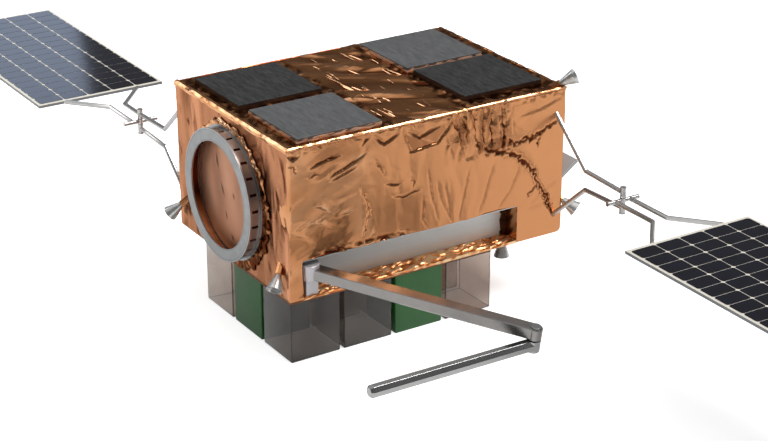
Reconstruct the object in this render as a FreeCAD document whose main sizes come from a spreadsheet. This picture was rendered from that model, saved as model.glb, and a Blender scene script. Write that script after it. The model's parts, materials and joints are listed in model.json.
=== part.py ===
"""Servicing satellite: a foil-wrapped bus with a launch ring, two solar wings on
universal joints, a folding arm in a side recess and a rack of storage boxes below.

Row frame, in millimetres: the origin is under the middle of the bus, level with the
storage boxes' underside; +X runs along the bus away from the launch ring, -Y is the side
with the arm, +Z is up.
The driving sizes are in the spreadsheet; every piece is bound to its cells.
"""
import FreeCAD, Part
import Sketcher
import math
import os
import re

Vector = FreeCAD.Vector
Rotation = FreeCAD.Rotation
Placement = FreeCAD.Placement

doc = FreeCAD.newDocument("Satellite")

# ---------------------------------------------------------------- driving sizes
SIZES = {
    "bus": [
        ("bus_length", 2243, "along X"),
        ("bus_width", 1568, "along Y"),
        ("bus_height", 1100, "along Z"),
        ("bus_corner", 18, "radius of the upright and top edges"),
    ],
    "storage boxes": [
        ("box_length", 382, "along X"),
        ("box_width", 379, "along Y"),
        ("box_height", 434, "along Z"),
        ("box_wall", 6, "wall, floor and lid"),
        ("box_gap", 32, "between neighbours"),
        ("box_inset_x", 13, "from the ring end of the bus to the first box"),
        ("box_inset_y", 8, "from the arm side of the bus to the first box"),
        ("carrier_thickness", 12, "plate between the bus and the boxes"),
    ],
    "arm recess": [
        ("recess_start", 108, "from the ring end"),
        ("recess_length", 1741, "along X"),
        ("recess_floor", 11, "floor's thickness"),
        ("recess_height", 276, "clear height"),
        ("recess_depth", 143, "into the bus"),
        ("liner_sheet", 4, "thickness of the liner"),
    ],
    "launch ring": [
        ("ring_height", 533, "centre above the bus's underside"),
        ("ring_proud", 105, "front face ahead of the bus"),
        ("ring_outer_radius", 468.5, "front flange"),
        ("ring_inner_radius", 378, "front flange"),
        ("ring_foot_radius", 476, "rear flange, outside"),
        ("ring_web_radius", 452, "outside of the web"),
        ("ring_web_sheet", 9, "thickness of the web"),
        ("ring_front_flange", 12, "thickness"),
        ("ring_rear_flange", 12, "thickness"),
        ("ring_slot_count", 25, "windows in the web"),
        ("ring_slot_width", 20, "round the web"),
        ("ring_slot_height", 48, "along the axis"),
        ("collar_thickness", 9, "gathered blanket behind the ring"),
        ("collar_radius", 506, "outside, at the bus"),
    ],
    "deck plates": [
        ("plate_length", 648, "along X"),
        ("plate_width", 640, "along Y"),
        ("plate_thickness", 22, ""),
        ("plate_seat_height", 11, "packed blanket under each plate"),
        ("plate_seat_inset", 24, "seat's edge inside the plate's edge"),
        ("ring_near_end", 116, "grey plate from the ring end"),
        ("ring_near_side", 66, "and from the arm side"),
        ("ring_far_end", 100, "dark plate from the ring end"),
        ("ring_far_side", 115, "and from the far side"),
        ("rear_near_end", 109, "dark plate from the rear end"),
        ("rear_near_side", 148, "and from the arm side"),
        ("rear_far_end", 126, "grey plate from the rear end"),
        ("rear_far_side", 82, "and from the far side"),
    ],
    "solar wings": [
        ("wing_offset", 78, "yoke's plane from the end of the bus"),
        ("strut_across", 31, "across the flats of the eight-sided struts"),
        ("yoke_upper_foot", 916, "above the bus's underside"),
        ("yoke_lower_foot", 149, "above the bus's underside"),
        ("yoke_knee_out", 356, "knee's distance from the bus"),
        ("yoke_upper_knee", 605, "above the bus's underside"),
        ("yoke_lower_knee", 465, "above the bus's underside"),
        ("gimbal_out", 765, "joint's distance from the bus"),
        ("gimbal_height", 535, "joint above the bus's underside"),
        ("hub_radius", 20, "cross between the two pins"),
        ("hub_half_height", 18, "along the upright pin"),
        ("trunnion_radius", 16, "hub's arms along the level pin"),
        ("trunnion_half", 25, "half their length"),
        ("gimbal_pin_radius", 8, "both pins"),
        ("upright_head_radius", 22, "cap on each end of the upright pin"),
        ("level_head_radius", 17, "cap on each end of the level pin"),
        ("pin_head_height", 5, "of all four caps"),
        ("upright_sleeve_radius", 20, "yoke's sleeve on the upright pin"),
        ("upright_sleeve_length", 70, ""),
        ("level_sleeve_radius", 15, "fork's sleeve on the level pin"),
        ("level_sleeve_length", 100, ""),
        ("fork_strut_out", 61, "fork's strut along the level pin from the joint"),
        ("sleeve_gap", 3, "between a sleeve and the hub"),
        ("hinge_clearance", 0.3, "round every pin and under every cap"),
        ("fork_knee_out", 1157, "knee's distance from the bus"),
        ("fork_spread", 297, "strut's end from the wing's middle"),
        ("panel_out", 1436, "inner edge's distance from the bus"),
        ("panel_width", 1035, "along X"),
        ("panel_length", 2175, "outwards"),
        ("panel_thickness", 22, "honeycomb plate"),
        ("cell_height", 2, "above the plate"),
        ("cell_side_margin", 18, "bare rim along the sides"),
        ("cell_end_margin", 27, "bare rim along the ends"),
        ("cell_column_gap", 8, "bare strip between columns"),
        ("cell_row_gap", 6, "between the cells of a column"),
        ("cell_clip", 12, "clipped corner"),
    ],
    "arm": [
        ("arm_tilt_angle", 10, "degrees its plane drops away from the bus"),
        ("shoulder_start", 187, "from the ring end"),
        ("shoulder_inset", 60, "behind the side of the bus"),
        ("shoulder_height", 177, "above the bus's underside"),
        ("arm_swing_angle", -51, "degrees of the upper arm from stowed"),
        ("arm_fold_angle", -0.7, "degrees of the forearm from parallel to the bus"),
        ("drum_radius", 48, "shoulder and elbow"),
        ("drum_edge", 7, "chamfer of the drums' rims"),
        ("arm_pin_radius", 20, ""),
        ("upper_arm_length", 1571, "between the pins"),
        ("upper_arm_width", 88, ""),
        ("upper_arm_height", 90, ""),
        ("upper_arm_edge", 5, "chamfer of the top edges"),
        ("upper_arm_keel", 15, "chamfer of the lower edges"),
        ("forearm_length", 1250, "from the pin to the tip"),
        ("forearm_across", 86, "across the flats of its eight sides"),
        ("forearm_point", 20, "tip's chamfer, along the bar"),
        ("forearm_tip_across", 58, "across the flats of the blunt tip"),
        ("arm_gap", 5, "between the two stacked links"),
        ("arm_cap_radius", 34, ""),
        ("arm_cap_height", 7, ""),
        ("bracket_width", 92, "along X"),
        ("bracket_depth", 104, "along Y"),
        ("bracket_shift", 8, "bracket's middle behind the pin"),
    ],
    "thrusters": [
        ("end_thruster_inset", 110, "ring end's and keel's, in from the sides"),
        ("end_thruster_height", 232, "ring end's, above the bus's underside"),
        ("rear_thruster_inset", 45, "rear end's, in from the sides"),
        ("rear_thruster_height", 250, "rear end's, above the bus's underside"),
        ("deck_thruster_end", 53, "deck's, from the rear end"),
        ("deck_thruster_side", 60, "deck's, from the arm side"),
        ("keel_thruster_end", 439, "keel's, from the rear end"),
        ("ring_stem_length", 52, "along the thruster's axis"),
        ("rear_stem_length", 34, ""),
        ("deck_stem_length", 40, ""),
        ("keel_stem_length", 8, ""),
        ("stem_radius", 26, "to the corners of its eight-sided wrap"),
        ("nozzle_neck_radius", 20, "outside, at the stem"),
        ("nozzle_mouth_radius", 57, "outside, at the mouth"),
        ("nozzle_length", 118, "stem to mouth"),
        ("nozzle_sheet", 3, "wall at the mouth"),
        ("nozzle_floor", 22, "solid part at the neck"),
    ],
    "rear antenna": [
        ("antenna_start", 33, "from the arm side"),
        ("antenna_width", 500, "along Y"),
        ("antenna_foot", 381, "above the bus's underside"),
        ("antenna_thickness", 30, "upright, at the root"),
        ("antenna_reach", 160, "out from the bus"),
        ("antenna_rise", 112, "over its reach"),
        ("antenna_tip_back", 15, "tip's slanted edge, inwards"),
        ("antenna_tip_up", 22, "tip's slanted edge, upwards"),
    ],
}

sheet = doc.addObject("Spreadsheet::Sheet", "Sizes")
sheet.Label = "Sizes"
row = 1
for group, cells in SIZES.items():
    sheet.set("A%d" % row, group)
    row += 1
    for alias, value, note in cells:
        sheet.set("A%d" % row, alias)
        sheet.set("B%d" % row, str(value))
        sheet.setAlias("B%d" % row, alias)
        sheet.set("C%d" % row, note)
        row += 1
doc.recompute()


def size(alias):
    """A driving size as a number, for what is worked out in code."""
    return float(sheet.get(alias))


# Counts and places that repeat
BOX_COLUMNS = 4
BOX_ROWS = 3
GREEN_BOXES = {(3, 1), (1, 2), (4, 3)}       # (column from the ring, row from the arm side)
CELL_COLUMNS = 5
CELL_ROWS = 16

# plate, its low corner from the ring end, and from the arm side
DECK_PLATES = [
    ("deck_plate_grey_ring_near", "ring_near_end", "ring_near_side"),
    ("deck_plate_dark_ring_far", "ring_far_end", "bus_width - plate_width - ring_far_side"),
    ("deck_plate_dark_rear_near", "bus_length - plate_length - rear_near_end", "rear_near_side"),
    ("deck_plate_grey_rear_far", "bus_length - plate_length - rear_far_end",
     "bus_width - plate_width - rear_far_side"),
]

# thruster, its foot from the ring end, from the arm side and above the underside, stem, aim
THRUSTERS = [
    ("ring_near", "0", "end_thruster_inset", "end_thruster_height",
     "ring_stem_length", (-1.0, -0.85, -1.15)),
    ("ring_far", "0", "bus_width - end_thruster_inset", "end_thruster_height",
     "ring_stem_length", (-1.0, 0.85, -1.15)),
    ("rear_near", "bus_length", "rear_thruster_inset", "rear_thruster_height",
     "rear_stem_length", (1.0, -1.1, -0.9)),
    ("rear_far", "bus_length", "bus_width - rear_thruster_inset", "rear_thruster_height",
     "rear_stem_length", (1.0, 1.1, -0.9)),
    ("deck", "bus_length - deck_thruster_end", "deck_thruster_side", "bus_height",
     "deck_stem_length", (1.0, -0.95, 0.8)),
    ("keel_near", "bus_length - keel_thruster_end", "end_thruster_inset", "0",
     "keel_stem_length", (0.0, 0.0, -1.0)),
    ("keel_far", "bus_length - keel_thruster_end", "bus_width - end_thruster_inset", "0",
     "keel_stem_length", (0.0, 0.0, -1.0)),
]


def cells(formula):
    """Every size's name has an underscore, and is looked up in the sheet."""
    return re.sub(r"\b([a-z]+_[a-z_]+)\b", r"Sizes.\1", formula)


# The bus's corner at the ring end, the arm side and the underside
BUS_X = "(-bus_length / 2)"
BUS_Y = "(-bus_width / 2)"
BUS_Z = "(box_height + carrier_thickness)"
bus_corner = Vector(-size("bus_length") / 2, -size("bus_width") / 2,
                    size("box_height") + size("carrier_thickness"))

nodes = []


# ---------------------------------------------------------------- helpers
def node(obj, name):
    """Name a finished piece, which is then written as its own file."""
    obj.Label = name
    nodes.append(obj)
    return obj


def bind(obj, **formulas):
    for prop, formula in formulas.items():
        obj.setExpression(prop, cells(formula))
    return obj


def place(obj, x="0", y="0", z="0", turn=None):
    """Bind an object's place in the row frame to formulas."""
    obj.Placement = Placement(Vector(0, 0, 0), turn or Rotation())
    for axis, formula in zip("xyz", (x, y, z)):
        obj.setExpression("Placement.Base." + axis, cells(formula))
    return obj


def block(name, sizes, corner):
    part = doc.addObject("Part::Box", name)
    bind(part, Length=sizes[0], Width=sizes[1], Height=sizes[2])
    return place(part, *corner)


def cut(name, base, tool):
    part = doc.addObject("Part::Cut", name)
    part.Base = base
    part.Tool = tool
    return part


def together(name, parts):
    """Like pieces that share a node, as solids that don't touch."""
    group = doc.addObject("Part::Compound", name)
    group.Links = parts
    return group


def body(name):
    return doc.addObject("PartDesign::Body", name)


def sketch_on(owner, role, name, shift="0"):
    """A sketch on one of a body's own origin planes, moved along its normal."""
    plane = [item for item in owner.Origin.OriginFeatures if item.Role == role][0]
    drawing = owner.newObject("Sketcher::SketchObject", name)
    drawing.AttachmentSupport = (plane, [""])
    drawing.MapMode = "FlatFace"
    drawing.setExpression("AttachmentOffset.Base.z", cells(shift))
    return drawing


def hold(drawing, direction, geometry, point, formula):
    """Fix a point of a sketch at a signed distance from the sketch's origin."""
    if formula == "0":
        axis = -2 if direction == "DistanceX" else -1
        drawing.addConstraint(Sketcher.Constraint("PointOnObject", geometry, point, axis))
        return
    index = drawing.addConstraint(Sketcher.Constraint(direction, -1, 1, geometry, point, 1.0))
    drawing.setExpression("Constraints[%d]" % index, cells(formula))


def polygon(drawing, points):
    """A closed outline of straight lines through points given as formulas."""
    count = len(points)
    first = drawing.GeometryCount
    rough = [Vector(100 * math.cos(2 * math.pi * i / count), 100 * math.sin(2 * math.pi * i / count), 0)
             for i in range(count)]
    for i in range(count):
        drawing.addGeometry(Part.LineSegment(rough[i], rough[(i + 1) % count]), False)
    for i in range(count):
        following = first + (i + 1) % count
        drawing.addConstraint(Sketcher.Constraint("Coincident", first + i, 2, following, 1))
    for i, (x, y) in enumerate(points):
        hold(drawing, "DistanceX", first + i, 1, x)
        hold(drawing, "DistanceY", first + i, 1, y)


def rectangle(drawing, low_x, low_y, high_x, high_y):
    polygon(drawing, [(low_x, low_y), (high_x, low_y), (high_x, high_y), (low_x, high_y)])


def pad(owner, drawing, name, length, midplane=False, reversed_=False):
    feature = owner.newObject("PartDesign::Pad", name)
    feature.Profile = drawing
    feature.Midplane = midplane
    feature.Reversed = reversed_
    bind(feature, Length=length)
    return feature


def pocket(owner, drawing, name, length, reversed_=False, midplane=False):
    feature = owner.newObject("PartDesign::Pocket", name)
    feature.Profile = drawing
    feature.Midplane = midplane
    feature.Reversed = reversed_
    bind(feature, Length=length)
    return feature


def revolve(owner, drawing, name, axis):
    """Turn a sketch about one of its own axes: H_Axis or V_Axis."""
    feature = owner.newObject("PartDesign::Revolution", name)
    feature.Profile = drawing
    feature.ReferenceAxis = (drawing, [axis])
    feature.Angle = 360
    return feature


def edges_where(shape, test):
    """Names of the edges whose middle and direction pass a test."""
    names = []
    for index, edge in enumerate(shape.Edges):
        middle = edge.valueAt((edge.FirstParameter + edge.LastParameter) / 2)
        along = edge.tangentAt((edge.FirstParameter + edge.LastParameter) / 2)
        if test(middle, along):
            names.append("Edge%d" % (index + 1))
    return names


def mitred_bar(points, across, up, start_face, end_face):
    """An eight-sided bar along straight runs, mitred where they meet.

    start_face and end_face are the normals of the planes that close its two ends.
    """
    runs = [(points[i + 1] - points[i]).normalize() for i in range(len(points) - 1)]
    side = runs[0].cross(up).normalize()
    corner = across / 2 / math.cos(math.pi / 8)
    turns = [math.pi / 8 + i * math.pi / 4 for i in range(8)]
    outline = [points[0] + side * (corner * math.cos(turn)) + up * (corner * math.sin(turn))
               for turn in turns]
    faces = [start_face] + [before + after for before, after in zip(runs, runs[1:])] + [end_face]
    rings = []
    for i, (point, face) in enumerate(zip(points, faces)):
        run = runs[max(i - 1, 0)]
        outline = [v + run * ((point - v).dot(face) / run.dot(face)) for v in outline]
        rings.append(Part.makePolygon(outline + [outline[0]]))
    return Part.makeLoft(rings, True, True)


def coded(name, shape, place_at):
    """A piece whose shape is worked out in code from the sheet's sizes."""
    part = doc.addObject("Part::Feature", name)
    part.Shape = shape
    part.Placement = place_at
    return part


# ---------------------------------------------------------------- bus
def make_bus():
    bus = body("bus_body_solid")
    place(bus, BUS_X, BUS_Y, BUS_Z)
    plan = sketch_on(bus, "XY_Plane", "bus_plan")
    rectangle(plan, "0", "0", "bus_length", "bus_width")
    block_pad = pad(bus, plan, "bus_block", "bus_height")
    doc.recompute()
    edges = edges_where(block_pad.Shape, lambda middle, along: abs(along.z) > 0.9
                        or middle.z > size("bus_height") - 1)
    rounded = bus.newObject("PartDesign::Fillet", "bus_round")
    rounded.Base = (block_pad, edges)
    bind(rounded, Radius="bus_corner")
    side = sketch_on(bus, "XZ_Plane", "recess_outline")
    rectangle(side, "recess_start", "recess_floor", "recess_start + recess_length",
              "recess_floor + recess_height")
    pocket(bus, side, "arm_recess", "recess_depth", reversed_=False)
    node(bus, "bus_body")

    liner = body("recess_liner_solid")
    place(liner, BUS_X + " + recess_start", BUS_Y, BUS_Z + " + recess_floor")
    section = sketch_on(liner, "YZ_Plane", "liner_section")
    polygon(section, [
        ("recess_depth", "0"), ("recess_depth", "recess_height"), ("0", "recess_height"),
        ("0", "recess_height - liner_sheet"),
        ("recess_depth - liner_sheet", "recess_height - liner_sheet"),
        ("recess_depth - liner_sheet", "0")])
    pad(liner, section, "liner_sheet_pad", "recess_length")
    node(liner, "recess_liner")
    return bus


# ---------------------------------------------------------------- launch ring
def make_ring():
    """An aluminium ring: front flange, slotted web and rear flange on a gathered collar."""
    centre = (BUS_X, BUS_Y + " + bus_width / 2", BUS_Z + " + ring_height")
    ring = body("adapter_ring_solid")
    place(ring, *centre)
    section = sketch_on(ring, "XZ_Plane", "ring_section")
    front = "-ring_proud"
    web_front = "-ring_proud + ring_front_flange"
    web_rear = "-collar_thickness - ring_rear_flange"
    web_inside = "ring_web_radius - ring_web_sheet"
    polygon(section, [
        (front, "ring_inner_radius"), (web_front, "ring_inner_radius"),
        (web_front, web_inside), ("-collar_thickness", web_inside),
        ("-collar_thickness", "ring_foot_radius"), (web_rear, "ring_foot_radius"),
        (web_rear, "ring_web_radius"), (web_front, "ring_web_radius"),
        (web_front, "ring_outer_radius"), (front, "ring_outer_radius")])
    revolve(ring, section, "ring_turned", "H_Axis")
    window = sketch_on(ring, "XY_Plane", "ring_window")
    middle = "(%s + %s) / 2" % (web_front, web_rear)
    rectangle(window, middle + " - ring_slot_height / 2", "-ring_slot_width / 2",
              middle + " + ring_slot_height / 2", "ring_slot_width / 2")
    opening = pocket(ring, window, "ring_slot", "ring_outer_radius", reversed_=True)
    doc.recompute()
    pattern = ring.newObject("PartDesign::PolarPattern", "ring_slots")
    pattern.Originals = [opening]
    axis = [item for item in ring.Origin.OriginFeatures if item.Role == "X_Axis"][0]
    pattern.Axis = (axis, [""])
    pattern.Angle = 360
    bind(pattern, Occurrences="ring_slot_count")
    ring.Tip = pattern
    node(ring, "adapter_ring")

    collar = body("ring_collar_solid")
    place(collar, *centre)
    lip = sketch_on(collar, "XZ_Plane", "collar_section")
    polygon(lip, [("-collar_thickness", web_inside), ("0", web_inside), ("0", "collar_radius"),
                  ("-collar_thickness", "ring_foot_radius")])
    revolve(collar, lip, "collar_turned", "H_Axis")
    node(collar, "ring_collar")


# ---------------------------------------------------------------- deck
def make_deck():
    seats = []
    deck = BUS_Z + " + bus_height"
    for name, along, across in DECK_PLATES:
        low_x = "%s + %s" % (BUS_X, along)
        low_y = "%s + %s" % (BUS_Y, across)
        seats.append(block(
            name + "_seat",
            ("plate_length - 2 * plate_seat_inset", "plate_width - 2 * plate_seat_inset",
             "plate_seat_height"),
            (low_x + " + plate_seat_inset", low_y + " + plate_seat_inset", deck)))
        node(block(name + "_plate", ("plate_length", "plate_width", "plate_thickness"),
                   (low_x, low_y, deck + " + plate_seat_height")), name)
    node(together("plate_seats_all", seats), "plate_seats")


# ---------------------------------------------------------------- thrusters
def make_thrusters(bus):
    """Conical nozzles on foil-wrapped stems that are rooted in the bus."""
    posts = []
    nozzles = []
    for name, along, across, up, stem, aim in THRUSTERS:
        direction = Vector(*aim).normalize()
        turn = Rotation(Vector(0, 0, 1), direction)
        slant = direction.cross(Vector(0, 0, 1)).Length
        buried = "(3 * stem_radius * %.6f)" % slant     # a level stem is rooted, an upright one is not
        foot = ("%s + %s" % (BUS_X, along), "%s + %s" % (BUS_Y, across), "%s + %s" % (BUS_Z, up))
        post = doc.addObject("Part::Prism", name + "_post")
        post.Polygon = 8
        bind(post, Circumradius="stem_radius", Height="%s + %s" % (stem, buried))
        place(post, *["%s - %.6f * %s" % (low, step, buried) for low, step in zip(foot, direction)],
              turn=turn)
        posts.append(post)

        nozzle = body(name + "_nozzle")
        place(nozzle, *["%s + %.6f * %s" % (low, step, stem) for low, step in zip(foot, direction)],
              turn=turn)
        profile = sketch_on(nozzle, "XZ_Plane", name + "_profile")
        polygon(profile, [
            ("0", "0"), ("nozzle_neck_radius", "0"), ("nozzle_mouth_radius", "nozzle_length"),
            ("nozzle_mouth_radius - nozzle_sheet", "nozzle_length"),
            ("nozzle_neck_radius - nozzle_sheet", "nozzle_floor"), ("0", "nozzle_floor")])
        revolve(nozzle, profile, name + "_turned", "V_Axis")
        nozzles.append(nozzle)
    node(cut("thruster_stems_cut", together("thruster_posts", posts), bus), "thruster_stems")
    node(together("thruster_nozzles_all", nozzles), "thruster_nozzles")


# ---------------------------------------------------------------- storage boxes
def make_boxes():
    node(block("carrier_plate",
               ("%d * box_length + %d * box_gap" % (BOX_COLUMNS, BOX_COLUMNS - 1),
                "%d * box_width + %d * box_gap" % (BOX_ROWS, BOX_ROWS - 1), "carrier_thickness"),
               (BUS_X + " + box_inset_x", BUS_Y + " + box_inset_y", "box_height")), "box_carrier")
    for column in range(1, BOX_COLUMNS + 1):
        for line in range(1, BOX_ROWS + 1):
            kind = "green" if (column, line) in GREEN_BOXES else "clear"
            name = "box_%s_%d_%d" % (kind, column, line)
            low_x = "%s + box_inset_x + %d * (box_length + box_gap)" % (BUS_X, column - 1)
            low_y = "%s + box_inset_y + %d * (box_width + box_gap)" % (BUS_Y, line - 1)
            outside = block(name + "_outside", ("box_length", "box_width", "box_height"),
                            (low_x, low_y, "0"))
            inside = block(name + "_inside",
                           ("box_length - 2 * box_wall", "box_width - 2 * box_wall",
                            "box_height - 2 * box_wall"),
                           (low_x + " + box_wall", low_y + " + box_wall", "box_wall"))
            node(cut(name + "_shell", outside, inside), name)


# ---------------------------------------------------------------- solar wings
def wing_places():
    """Each wing's frame: its middle plane where it meets the bus, +Y outwards, Z up."""
    half_turn = Rotation(Vector(0, 0, 1), 180)
    near = bus_corner + Vector(size("bus_length") - size("wing_offset"), 0, 0)
    far = bus_corner + Vector(size("wing_offset"), size("bus_width"), 0)
    return {"near": Placement(near, half_turn), "far": Placement(far, Rotation())}


def sleeve(centre, axis, radius, length):
    """A bushing for a pin, centred, along the axis; and the bore through it."""
    start = centre - axis * (length / 2)
    bore_radius = size("gimbal_pin_radius") + size("hinge_clearance")
    return (Part.makeCylinder(radius, length, start, axis),
            Part.makeCylinder(bore_radius, length, start, axis))


def sleeve_middle(half, length):
    """How far a sleeve's middle is from the joint's middle."""
    return half + size("sleeve_gap") + length / 2


def inner_yoke():
    """Two struts from the bus to sleeves on the ends of the upright pin."""
    reach = sleeve_middle(size("hub_half_height"), size("upright_sleeve_length"))
    outwards = Vector(0, 1, 0)
    solids = []
    for foot_up, knee_up, side in ((size("yoke_upper_foot"), size("yoke_upper_knee"), 1),
                                   (size("yoke_lower_foot"), size("yoke_lower_knee"), -1)):
        centre = Vector(0, size("gimbal_out"), size("gimbal_height") + side * reach)
        strut = mitred_bar([Vector(0, 0, foot_up), Vector(0, size("yoke_knee_out"), knee_up), centre],
                           size("strut_across"), Vector(1, 0, 0), outwards, outwards)
        bushing, bore = sleeve(centre, Vector(0, 0, 1), size("upright_sleeve_radius"),
                               size("upright_sleeve_length"))
        solids.append(strut.fuse(bushing).cut(bore).removeSplitter())
    return Part.makeCompound(solids)


def gimbal_cross():
    """A hub on the capped upright pin, crossed by the capped level pin with its trunnions."""
    centre = Vector(0, size("gimbal_out"), size("gimbal_height"))
    head = size("pin_head_height")
    parts = []
    for axis, radius, half, length, head_radius in (
            (Vector(0, 0, 1), size("hub_radius"), size("hub_half_height"), size("upright_sleeve_length"),
             size("upright_head_radius")),
            (Vector(1, 0, 0), size("trunnion_radius"), size("trunnion_half"), size("level_sleeve_length"),
             size("level_head_radius"))):
        sleeve_end = half + size("sleeve_gap") + length + size("hinge_clearance")
        reach = sleeve_end + head
        parts.append(Part.makeCylinder(radius, 2 * half, centre - axis * half, axis))
        parts.append(Part.makeCylinder(size("gimbal_pin_radius"), 2 * reach, centre - axis * reach, axis))
        parts += [Part.makeCylinder(head_radius, head, centre + way * sleeve_end, way)
                  for way in (axis, axis * -1)]
    return parts[0].fuse(parts[1:]).removeSplitter()


def outer_yoke():
    """Two struts from sleeves on the level pin to the panel's inner edge."""
    bushing_out = sleeve_middle(size("trunnion_half"), size("level_sleeve_length"))
    strut_out = size("fork_strut_out")
    level = size("gimbal_height")
    outwards = Vector(0, 1, 0)
    solids = []
    for side in (-1, 1):
        strut = mitred_bar([Vector(side * strut_out, size("gimbal_out"), level),
                            Vector(side * strut_out, size("fork_knee_out"), level),
                            Vector(side * size("fork_spread"), size("panel_out"), level)],
                           size("strut_across"), Vector(0, 0, 1), outwards, outwards)
        bushing, bore = sleeve(Vector(side * bushing_out, size("gimbal_out"), level), Vector(1, 0, 0),
                               size("level_sleeve_radius"), size("level_sleeve_length"))
        solids.append(strut.fuse(bushing).cut(bore).removeSplitter())
    return Part.makeCompound(solids)


def solar_cells():
    """Rows of cells with clipped corners, on the panel's upper face."""
    across = (size("panel_width") - 2 * size("cell_side_margin")) / CELL_COLUMNS
    along = (size("panel_length") - 2 * size("cell_end_margin")) / CELL_ROWS
    half_x = (across - size("cell_column_gap")) / 2
    half_y = (along - size("cell_row_gap")) / 2
    clip = size("cell_clip")
    corners = [Vector(-half_x + clip, -half_y), Vector(half_x - clip, -half_y),
               Vector(half_x, -half_y + clip), Vector(half_x, half_y - clip),
               Vector(half_x - clip, half_y), Vector(-half_x + clip, half_y),
               Vector(-half_x, half_y - clip), Vector(-half_x, -half_y + clip)]
    cell = Part.Face(Part.makePolygon(corners + [corners[0]])).extrude(Vector(0, 0, size("cell_height")))
    top = size("gimbal_height") + size("panel_thickness") / 2
    cells_there = []
    for column in range(CELL_COLUMNS):
        for line in range(CELL_ROWS):
            middle = Vector((column + 0.5) * across + size("cell_side_margin") - size("panel_width") / 2,
                            (line + 0.5) * along + size("cell_end_margin") + size("panel_out"), top)
            cells_there.append(cell.translated(middle))
    return Part.makeCompound(cells_there)


def make_wings():
    for side, at in wing_places().items():
        node(coded("yoke_" + side, inner_yoke(), at), "wing_yoke_" + side)
        node(coded("cross_" + side, gimbal_cross(), at), "wing_gimbal_" + side)
        node(coded("fork_" + side, outer_yoke(), at), "wing_fork_" + side)
        plate = Part.makeBox(size("panel_width"), size("panel_length"), size("panel_thickness"),
                             Vector(-size("panel_width") / 2, size("panel_out"),
                                    size("gimbal_height") - size("panel_thickness") / 2))
        node(coded("panel_" + side, plate, at), "panel_" + side)
        node(coded("cells_" + side, solar_cells(), at), "solar_cells_" + side)


# ---------------------------------------------------------------- arm
def arm_frame(angle, origin):
    """A frame in the arm's plane: X turned from the bus's own X, Z square to the plane."""
    tilt = Rotation(Vector(1, 0, 0), size("arm_tilt_angle"))
    return Placement(origin, tilt.multiply(Rotation(Vector(0, 0, 1), angle)))


def make_arm():
    shoulder = bus_corner + Vector(size("shoulder_start"), size("shoulder_inset"), size("shoulder_height"))
    stowed = arm_frame(0, shoulder)
    upper_at = arm_frame(size("arm_swing_angle"), shoulder)
    half = size("upper_arm_height") / 2
    clear = size("hinge_clearance")
    pin = size("arm_pin_radius")
    drum = size("drum_radius")
    length = size("upper_arm_length")

    # bracket: a block on the recess's floor, cut square to the pin, with the pin on it
    width, depth = size("bracket_width"), size("bracket_depth")
    low = size("recess_floor") - size("shoulder_height")
    blank = Part.makeBox(width, depth, -low, Vector(-width / 2, size("bracket_shift") - depth / 2, low))
    blank.Placement = Placement(shoulder, Rotation())
    above = Part.makeBox(4 * width, 4 * depth, -2 * low, Vector(-2 * width, -2 * depth, -half - clear))
    above.Placement = stowed
    post = Part.makeCylinder(pin, 2 * half + clear + size("arm_cap_height"), Vector(0, 0, -half - clear))
    post.Placement = stowed
    cap = Part.makeCylinder(size("arm_cap_radius"), size("arm_cap_height"), Vector(0, 0, half + clear))
    cap.Placement = stowed
    node(coded("bracket", blank.cut(above).fuse([post, cap]).removeSplitter(), Placement()),
         "arm_shoulder_bracket")

    # upper arm: a beam with chamfered edges from a drum round the shoulder pin to a rounded elbow
    side = size("upper_arm_width") / 2
    edge, keel = size("upper_arm_edge"), size("upper_arm_keel")
    section = [Vector(0, -side + keel, -half), Vector(0, side - keel, -half),
               Vector(0, side, -half + keel), Vector(0, side, half - edge),
               Vector(0, side - edge, half), Vector(0, -side + edge, half),
               Vector(0, -side, half - edge), Vector(0, -side, -half + keel)]
    beam = Part.Face(Part.makePolygon(section + [section[0]])).extrude(Vector(length, 0, 0))
    drums = []
    for along in (0, length):
        plain = Part.makeCylinder(drum, 2 * half, Vector(along, 0, -half))
        rims = [rim for rim in plain.Edges if rim.BoundBox.ZLength < clear]
        drums.append(plain.makeChamfer(size("drum_edge"), rims))
    holes = [Part.makeCylinder(pin + clear, 4 * half, Vector(along, 0, -2 * half)) for along in (0, length)]
    upper = beam.fuse(drums).cut(Part.makeCompound(holes)).removeSplitter()
    node(coded("upper", upper, upper_at), "arm_upper")

    # forearm: an eight-sided bar under the upper arm, with the elbow pin on its drum
    across = size("forearm_across")
    elbow = upper_at.multVec(Vector(length, 0, 0))
    fore_at = arm_frame(180 + size("arm_fold_angle"), elbow)
    drop = -half - size("arm_gap") - across / 2
    corner = across / 2 / math.cos(math.pi / 8)
    ring = [Vector(0, corner * math.cos(math.pi / 8 + i * math.pi / 4),
                   drop + corner * math.sin(math.pi / 8 + i * math.pi / 4)) for i in range(8)]
    bar_length = size("forearm_length")
    point = size("forearm_point")
    bar = Part.Face(Part.makePolygon(ring + [ring[0]])).extrude(Vector(bar_length - point, 0, 0))
    shrink = size("forearm_tip_across") / across
    tip_ring = [Vector(bar_length, v.y * shrink, drop + (v.z - drop) * shrink) for v in ring]
    base_ring = [Vector(bar_length - point, v.y, v.z) for v in ring]
    tip = Part.makeLoft([Part.makePolygon(base_ring + [base_ring[0]]),
                         Part.makePolygon(tip_ring + [tip_ring[0]])], True, True)
    knuckle = Part.makeCylinder(drum, across, Vector(0, 0, drop - across / 2))
    elbow_pin = Part.makeCylinder(pin, 2 * half + size("arm_gap") + clear, Vector(0, 0, -half - size("arm_gap")))
    cap = Part.makeCylinder(size("arm_cap_radius"), size("arm_cap_height"), Vector(0, 0, half + clear))
    node(coded("fore", bar.fuse([tip, knuckle, elbow_pin, cap]).removeSplitter(), fore_at), "arm_forearm")


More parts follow.
